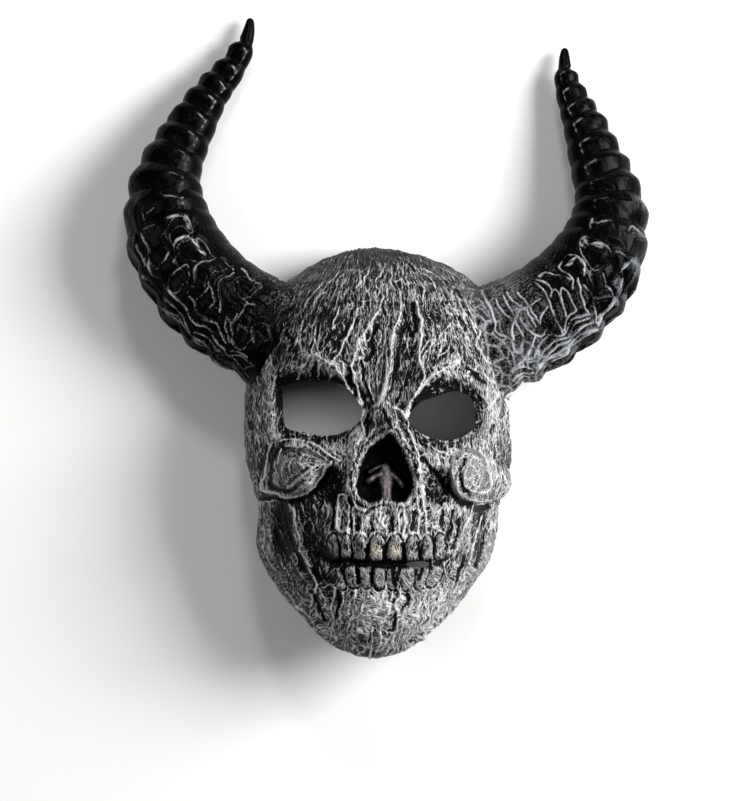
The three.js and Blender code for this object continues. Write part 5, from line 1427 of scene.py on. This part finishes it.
def laid_over(tree, colour, layers):
    """A colour with others laid over it in turn, each as far as its cover goes."""
    for cover, over in layers:
        inputs = {0: cover, 6: colour, 7: over}
        colour = add_node(tree, "ShaderNodeMix", inputs, data_type="RGBA").outputs[2]
    return colour


def net_lines(tree, place, scale, breadth, dimensions):
    """The lines of an uneven net, from 0 inside its meshes to 1 on them."""
    cells = add_node(tree, "ShaderNodeTexVoronoi", {
        "Vector": place, "Scale": scale, "Randomness": 1.0,
    }, voronoi_dimensions=dimensions, feature="DISTANCE_TO_EDGE")
    return add_node(tree, "ShaderNodeMapRange", {
        "Value": cells.outputs["Distance"], "From Min": breadth, "From Max": LINE_CORE,
    }, interpolation_type="SMOOTHSTEP").outputs[0]


def mesh_values(tree, names):
    """The values that a mesh carries for its finish, by name."""
    nodes = {name: add_node(tree, "ShaderNodeAttribute", attribute_name=name) for name in names}
    return {name: node.outputs["Fac"] for name, node in nodes.items()}


def skin_patterns(tree, place):
    """The net of fine veins in the paint, which follows the flow of the drawn ones."""
    # The flow is shaken, so that no mesh of the net is like the next
    shake = add_node(tree, "ShaderNodeTexNoise", {
        "Vector": place, "Scale": 1 / (SHAKE["size"] * MM), "Detail": SHAKE["detail"],
    })
    flow_lines = add_node(tree, "ShaderNodeAttribute", attribute_name="flow").outputs["Vector"]
    moved = add_node(tree, "ShaderNodeVectorMath", {
        0: shake.outputs["Color"], 1: (SHAKE["by"], SHAKE["by"], 0), 2: flow_lines,
    }, operation="MULTIPLY_ADD")
    laid = {}
    for name, (width, length) in SKIN_MESHES.items():
        laid[name] = add_node(tree, "ShaderNodeVectorMath", {
            0: moved.outputs[0], 1: (1 / width, 1 / length, 1),
        }, operation="MULTIPLY").outputs[0]
    patterns = {}
    for name in ("hairs", "mesh"):
        patterns[name] = net_lines(tree, laid[name], 1.0, LINE_BREADTHS[name], "2D")
    # Long lines lie where a drawn-out noise passes through its middle
    long_lines = add_node(tree, "ShaderNodeTexNoise", {
        "Vector": laid["streaks"], "Scale": 1.0, "Detail": 1.0,
    }, noise_dimensions="2D").outputs["Fac"]
    off_middle = add_node(tree, "ShaderNodeMath", {0: long_lines, 1: 0.5}, operation="SUBTRACT").outputs[0]
    off_middle = add_node(tree, "ShaderNodeMath", {0: off_middle}, operation="ABSOLUTE").outputs[0]
    patterns["streaks"] = add_node(tree, "ShaderNodeMapRange", {
        "Value": off_middle, "From Min": LINE_BREADTHS["streaks"], "From Max": STREAK_CORE,
    }, interpolation_type="SMOOTHSTEP").outputs[0]
    for name, (size, detail, roughness) in SKIN_NOISE.items():
        patterns[name] = add_node(tree, "ShaderNodeTexNoise", {
            "Vector": place, "Scale": 1 / (size * MM), "Detail": detail, "Roughness": roughness,
        }).outputs["Fac"]
    return patterns


def paint_covers(tree, on):
    """How far the paint has caught, and where it lies thick."""
    # The load is kept low enough that the holes of the net stay dark
    load = add_node(tree, "ShaderNodeClamp", {
        "Value": weighted_sum(tree, PAINT_START["load"], on, PAINT_LOAD),
        "Min": LOAD_LIMITS[0], "Max": LOAD_LIMITS[1],
    }).outputs[0]
    net_height = weighted_sum(tree, PAINT_START["net"], on, NET_LOAD)
    quiet = weighted_sum(tree, 1.0, on, TOOTH_QUIET)
    total = add_node(tree, "ShaderNodeMath", {0: net_height, 1: quiet, 2: load}, operation="MULTIPLY_ADD")
    total = weighted_sum(tree, total.outputs[0], on, LINE_LOAD)
    covers = {}
    for name, (first, full) in PAINT_COVERS.items():
        covers[name] = add_node(tree, "ShaderNodeMapRange", {
            "Value": total, "From Min": first, "From Max": full,
        }, interpolation_type="SMOOTHSTEP").outputs[0]
    return covers


def drybrushed_latex(look):
    """Moulded latex: black with a faint sheen, and chalky grey paint on what stands proud."""
    # Cast rubber is black with a soft sheen. Paint dragged over it with a nearly dry brush is matt, and it
    # catches only on what stands proud, so the eye reads every vein, and the hollows stay dark.
    material, tree = new_material("Drybrushed moulded latex")
    place = add_node(tree, "ShaderNodeNewGeometry").outputs["Position"]
    on = {**mesh_values(tree, SKIN_VALUES), **skin_patterns(tree, place)}
    on["crisp"] = add_node(tree, "ShaderNodeMapRange", {
        "Value": on["lines"], "From Min": 0.5, "From Max": 0.82,
    }, interpolation_type="SMOOTHSTEP").outputs[0]
    cover = paint_covers(tree, on)

    # The stem of the nose is tinted in specks
    speckled = add_node(tree, "ShaderNodeMapRange", {
        "Value": on["grain"], "From Min": 0.36, "From Max": 0.62, "To Min": 0.3,
    }, interpolation_type="SMOOTHSTEP").outputs[0]
    tinted = add_node(tree, "ShaderNodeMath", {0: on["septum"], 1: speckled}, operation="MULTIPLY")
    chalk = laid_over(tree, look.thin_paint, ((cover["thick"], look.thick_paint), (on["ivory"], look.ivory)))
    colour = laid_over(tree, look.black, (
        (cover["caught"], chalk), (tinted.outputs[0], look.septum), (on["bare"], look.lining),
    ))
    rough = add_node(tree, "ShaderNodeMapRange", {"Value": cover["caught"], "To Min": 0.5, "To Max": 0.85})
    relief = add_node(tree, "ShaderNodeBump", {
        "Strength": 0.8, "Distance": 0.45 * MM, "Height": weighted_sum(tree, on["hairs"], on, SKIN_BUMPS),
    })
    shader = add_node(tree, "ShaderNodeBsdfPrincipled", {
        "Base Color": colour, "Roughness": rough.outputs[0], "IOR": LATEX_IOR, "Specular IOR Level": 0.12,
        "Normal": relief.outputs[0],
    })
    add_node(tree, "ShaderNodeOutputMaterial", {"Surface": shader.outputs[0]})
    return material


def horn_latex(look):
    """Black latex, satin at the tips, with the same chalky paint on the plates near the temples, and painted
    glints and sheen on the rings.
    """
    # The same rubber from a smoother mould keeps a thin highlight along each ring. The dry brush touched the
    # plates near the temples and hardly went further, so the eye sees the horns as black.
    material, tree = new_material("Satin black latex, drybrushed at the root")
    place = add_node(tree, "ShaderNodeNewGeometry").outputs["Position"]
    on = mesh_values(tree, HORN_VALUES)
    for name, (size, detail, roughness) in HORN_PAINT_NOISE.items():
        on[name] = add_node(tree, "ShaderNodeTexNoise", {
            "Vector": place, "Scale": 1 / (size * MM), "Detail": detail, "Roughness": roughness,
        }).outputs["Fac"]

    # Hair lines of paint between the rims
    on["hairs"] = net_lines(tree, place, 1 / (HORN_HAIRS * MM), LINE_BREADTHS["horn"], "3D")
    fade = add_node(tree, "ShaderNodeMapRange", {
        "Value": on["share"], "From Min": 0.2, "From Max": 0.66, "To Min": 1.0, "To Max": 0.44,
    }, interpolation_type="SMOOTHSTEP").outputs[0]
    total = add_node(tree, "ShaderNodeMath", {0: on["grain"], 1: 0.8}, operation="MULTIPLY").outputs[0]
    caught = add_node(tree, "ShaderNodeMapRange", {
        "Value": weighted_sum(tree, total, on, HORN_LOAD), "From Min": 0.92, "From Max": 1.8,
    }, interpolation_type="SMOOTHSTEP").outputs[0]
    caught = add_node(tree, "ShaderNodeMath", {0: caught, 1: fade}, operation="MULTIPLY").outputs[0]
    # The smear colour is thin paint and a painted bluish sheen on the outer shoulders, and the caught paint
    # holds the painted glints of the ring corners
    paint = laid_over(tree, look.paint, ((on["smear"], look.smear),))
    colour = laid_over(tree, look.black, ((caught, paint),))
    rough = add_node(tree, "ShaderNodeMapRange", {"Value": caught, "To Min": 0.26, "To Max": 0.7})
    bumps = add_node(tree, "ShaderNodeMath", {
        0: on["hairs"], 1: on["dust"], 2: on["grain"],
    }, operation="MULTIPLY_ADD")
    relief = add_node(tree, "ShaderNodeBump", {
        "Strength": 0.5, "Distance": 0.3 * MM, "Height": bumps.outputs[0],
    })
    shader = add_node(tree, "ShaderNodeBsdfPrincipled", {
        "Base Color": colour, "Roughness": rough.outputs[0], "IOR": LATEX_IOR, "Specular IOR Level": 0.05,
        "Normal": relief.outputs[0],
    })
    add_node(tree, "ShaderNodeOutputMaterial", {"Surface": shader.outputs[0]})
    return material


def matt_paper(look):
    """The paper on the floor."""
    # Uncoated paper has no sheen and scatters what falls on it, so it stays an even white under the mask
    material, tree = new_material("Matt white paper")
    shader = add_node(tree, "ShaderNodeBsdfPrincipled", {
        "Base Color": look.floor, "Roughness": PAPER_ROUGHNESS,
    })
    add_node(tree, "ShaderNodeOutputMaterial", {"Surface": shader.outputs[0]})
    return material


def colour_prop(name, description, hex_colour):
    """A setting for a colour."""
    return bpy.props.FloatVectorProperty(
        name=name, description=description, default=linear(hex_colour),
        size=4, min=0, max=1, subtype="COLOR",
    )


def length_prop(name, description, default, **limits):
    """A setting for a length."""
    return bpy.props.FloatProperty(
        name=name, description=description, default=default, unit="LENGTH", **limits,
    )


class FaceLook(bpy.types.PropertyGroup):
    """The sizes and colours of the moulded face."""

    skin: length_prop(
        "Latex thickness", "Thickness of the moulded latex",
        SKIN * MM, min=0.0015, max=0.006, precision=4,
    )
    vein_height: length_prop(
        "Vein height", "Height of the boldest veins over the skin round them",
        VEIN_FORMS["bold"][0] * MM, min=0, max=0.003, precision=4,
    )
    black: colour_prop("Black latex", "Colour of the hollows that the brush didn't reach", "#030304")
    thin_paint: colour_prop("Thin paint", "Colour of the chalky paint where it only just caught", "#908f90")
    thick_paint: colour_prop("Thick paint", "Colour of the chalky paint on what stands proudest", "#d4d4d5")
    ivory: colour_prop("Ivory", "Colour of the tips of the two middle teeth", "#d0c6b4")
    septum: colour_prop("Septum", "Colour of the stem inside the nose", "#8e8589")
    lining: colour_prop("Inside", "Colour of the bare latex inside the face", "#101012")
    cells: bpy.props.IntProperty(
        name="Cells outside", description="Cells across the outside of the face", default=300, min=60,
    )
    inner_cells: bpy.props.IntProperty(
        name="Cells inside", description="Cells across the inside of the face", default=84, min=20,
    )


class HornLook(bpy.types.PropertyGroup):
    """The sizes and colours of the horns."""

    rim_height: length_prop(
        "Rim height", "Height of the rims of the plates near the temples",
        RIM["height"] * MM, min=0, max=0.003, precision=4,
    )
    black: colour_prop("Black latex", "Colour of the bare horn", "#020203")
    paint: colour_prop("Paint", "Colour of the paint on the rims", "#b6b8bb")
    # The smear colour is thin paint with a painted bluish sheen
    smear: colour_prop("Smeared paint and sheen", "Colour of the thin paint and painted sheen on the rings' outer shoulders", "#707984")
    rows: bpy.props.IntProperty(
        name="Rows", description="Rows of points along each horn", default=410, min=60,
    )
    columns: bpy.props.IntProperty(
        name="Columns", description="Points round each horn", default=230, min=24,
    )


class StageLook(bpy.types.PropertyGroup):
    """The sizes and colours of the camera, light and floor."""

    picture_width: length_prop(
        "Picture width", "Width of what the camera sees at the level of the face",
        PICTURE["width"] * PICTURE["scale"] * MM, min=0.1,
    )
    distance: length_prop("Camera height", "Height of the camera over the floor", 6, min=1)
    floor_size: length_prop("Floor size", "Length of each side of the floor", 8, min=1)
    floor: colour_prop("Floor", "Colour of the paper on the floor", "#f4f4f2")


class MASK_OT_face(bpy.types.Operator):
    """Make the moulded face"""

    bl_idname = "mask.face"
    bl_label = "Moulded face"

    def execute(self, context):
        look = context.scene.mask_face
        face = Face(look)
        points, faces, attributes = face_mesh(face)
        piece = make_piece("mask_skin", points, faces, attributes, frame_offset())
        piece.data.materials.append(drybrushed_latex(look))
        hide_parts("mask_face")
        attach(piece, "root")
        return {"FINISHED"}


class MASK_OT_horns(bpy.types.Operator):
    """Make the two ringed horns"""

    bl_idname = "mask.horns"
    bl_label = "Ringed horns"

    def execute(self, context):
        look = context.scene.mask_horns
        latex = horn_latex(look)
        sides = (
            ("left", HORN_LEFT, LEFT_NOTCHES, LEFT_RIMS, 0.3, 60),
            ("right", HORN_RIGHT, RIGHT_NOTCHES, RIGHT_RIMS, 1.3, 80),
        )
        for side, stations, notches, rims, brushed, seed in sides:
            horn = Horn(stations, notches, rims, brushed, look, seed)
            piece = make_piece(f"horn_{side}_casting", *horn.mesh(), frame_offset())
            piece.data.materials.append(latex)
            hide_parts(f"horn_{side}")
            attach(piece, "root")
        return {"FINISHED"}


LIGHTS = {
    "key": {"place": (1.5, 0.4, 1.2), "size": 1.0, "power": 62},
    "fill": {"place": (-1.3, -0.2, 1.5), "size": 1.2, "power": 9},
    "rim": {"place": (0.1, 1.3, 1.4), "size": 0.3, "power": 7},
}
LIGHT_TARGET = (0, -0.02, 0.05)
WORLD_STRENGTH = 0.12
VIEW_END = 50


def make_floor(look):
    """A sheet of paper under the mask."""
    bpy.ops.mesh.primitive_plane_add(size=look.floor_size, location=(0, 0, 0))
    floor = bpy.context.active_object
    floor.name = "studio_floor"
    floor.data.materials.append(matt_paper(look))


def make_lights(scene):
    """A broad light from the right, two weak ones from the left and the crown, and a dim white world."""
    for name, light in LIGHTS.items():
        lamp = bpy.data.lights.new(f"{name}_light", "AREA")
        lamp.shape = "SQUARE"
        lamp.size = light["size"]
        lamp.energy = light["power"]
        holder = bpy.data.objects.new(f"{name}_light", lamp)
        scene.collection.objects.link(holder)
        holder.location = light["place"]
        towards = Vector(LIGHT_TARGET) - holder.location
        holder.rotation_euler = towards.to_track_quat("-Z", "Y").to_euler()
    world = bpy.data.worlds.new("Soft white studio")
    world.use_nodes = True
    sky = world.node_tree.nodes["Background"]
    sky.inputs["Color"].default_value = (1, 1, 1, 1)
    sky.inputs["Strength"].default_value = WORLD_STRENGTH
    scene.world = world


def make_camera(scene, look):
    """The camera, straight over the place that lies in the middle of the picture."""
    lens = bpy.data.cameras.new("Camera")
    camera = bpy.data.objects.new("Camera", lens)
    scene.collection.objects.link(camera)
    offset = frame_offset()
    scale = look.picture_width / PICTURE["width"]
    middle_x = (PICTURE["width"] / 2 - PICTURE["x"]) * scale + offset[0] * MM
    middle_y = (PICTURE["y"] - PICTURE["height"] / 2) * scale + offset[1] * MM
    camera.location = (middle_x, middle_y, look.distance)
    lens.sensor_fit = "HORIZONTAL"
    lens.sensor_width = SENSOR
    lens.lens = SENSOR * (look.distance - FACE_LEVEL) / look.picture_width
    lens.clip_end = VIEW_END
    scene.camera = camera


class MASK_OT_stage(bpy.types.Operator):
    """Make the floor, the lights and the camera"""

    bl_idname = "mask.stage"
    bl_label = "Stage"

    def execute(self, context):
        scene = context.scene
        scene.view_settings.view_transform = "Standard"
        make_floor(scene.mask_stage)
        make_lights(scene)
        make_camera(scene, scene.mask_stage)
        return {"FINISHED"}


class MASK_PT_panel(bpy.types.Panel):
    """The mask's pieces, with their sizes"""

    bl_idname = "MASK_PT_panel"
    bl_label = "Horned skull mask"
    bl_space_type = "VIEW_3D"
    bl_region_type = "UI"
    bl_category = "Mask"

    def draw(self, context):
        for group in GROUPS:
            operator = group.replace("_", ".")
            box = self.layout.box()
            for key in getattr(context.scene, group).__annotations__:
                box.prop(getattr(context.scene, group), key)
            box.operator(operator)


GROUPS = {"mask_face": FaceLook, "mask_horns": HornLook, "mask_stage": StageLook}
CLASSES = (*GROUPS.values(), MASK_OT_face, MASK_OT_horns, MASK_OT_stage, MASK_PT_panel)


def register():
    for each in CLASSES:
        bpy.utils.register_class(each)
    for name, group in GROUPS.items():
        setattr(bpy.types.Scene, name, bpy.props.PointerProperty(type=group))


def unregister():
    for name in GROUPS:
        delattr(bpy.types.Scene, name)
    for each in reversed(CLASSES):
        bpy.utils.unregister_class(each)


def main():
    register()
    bpy.ops.mask.face()
    bpy.ops.mask.horns()
    bpy.ops.mask.stage()


if __name__ == "__main__":
    main()
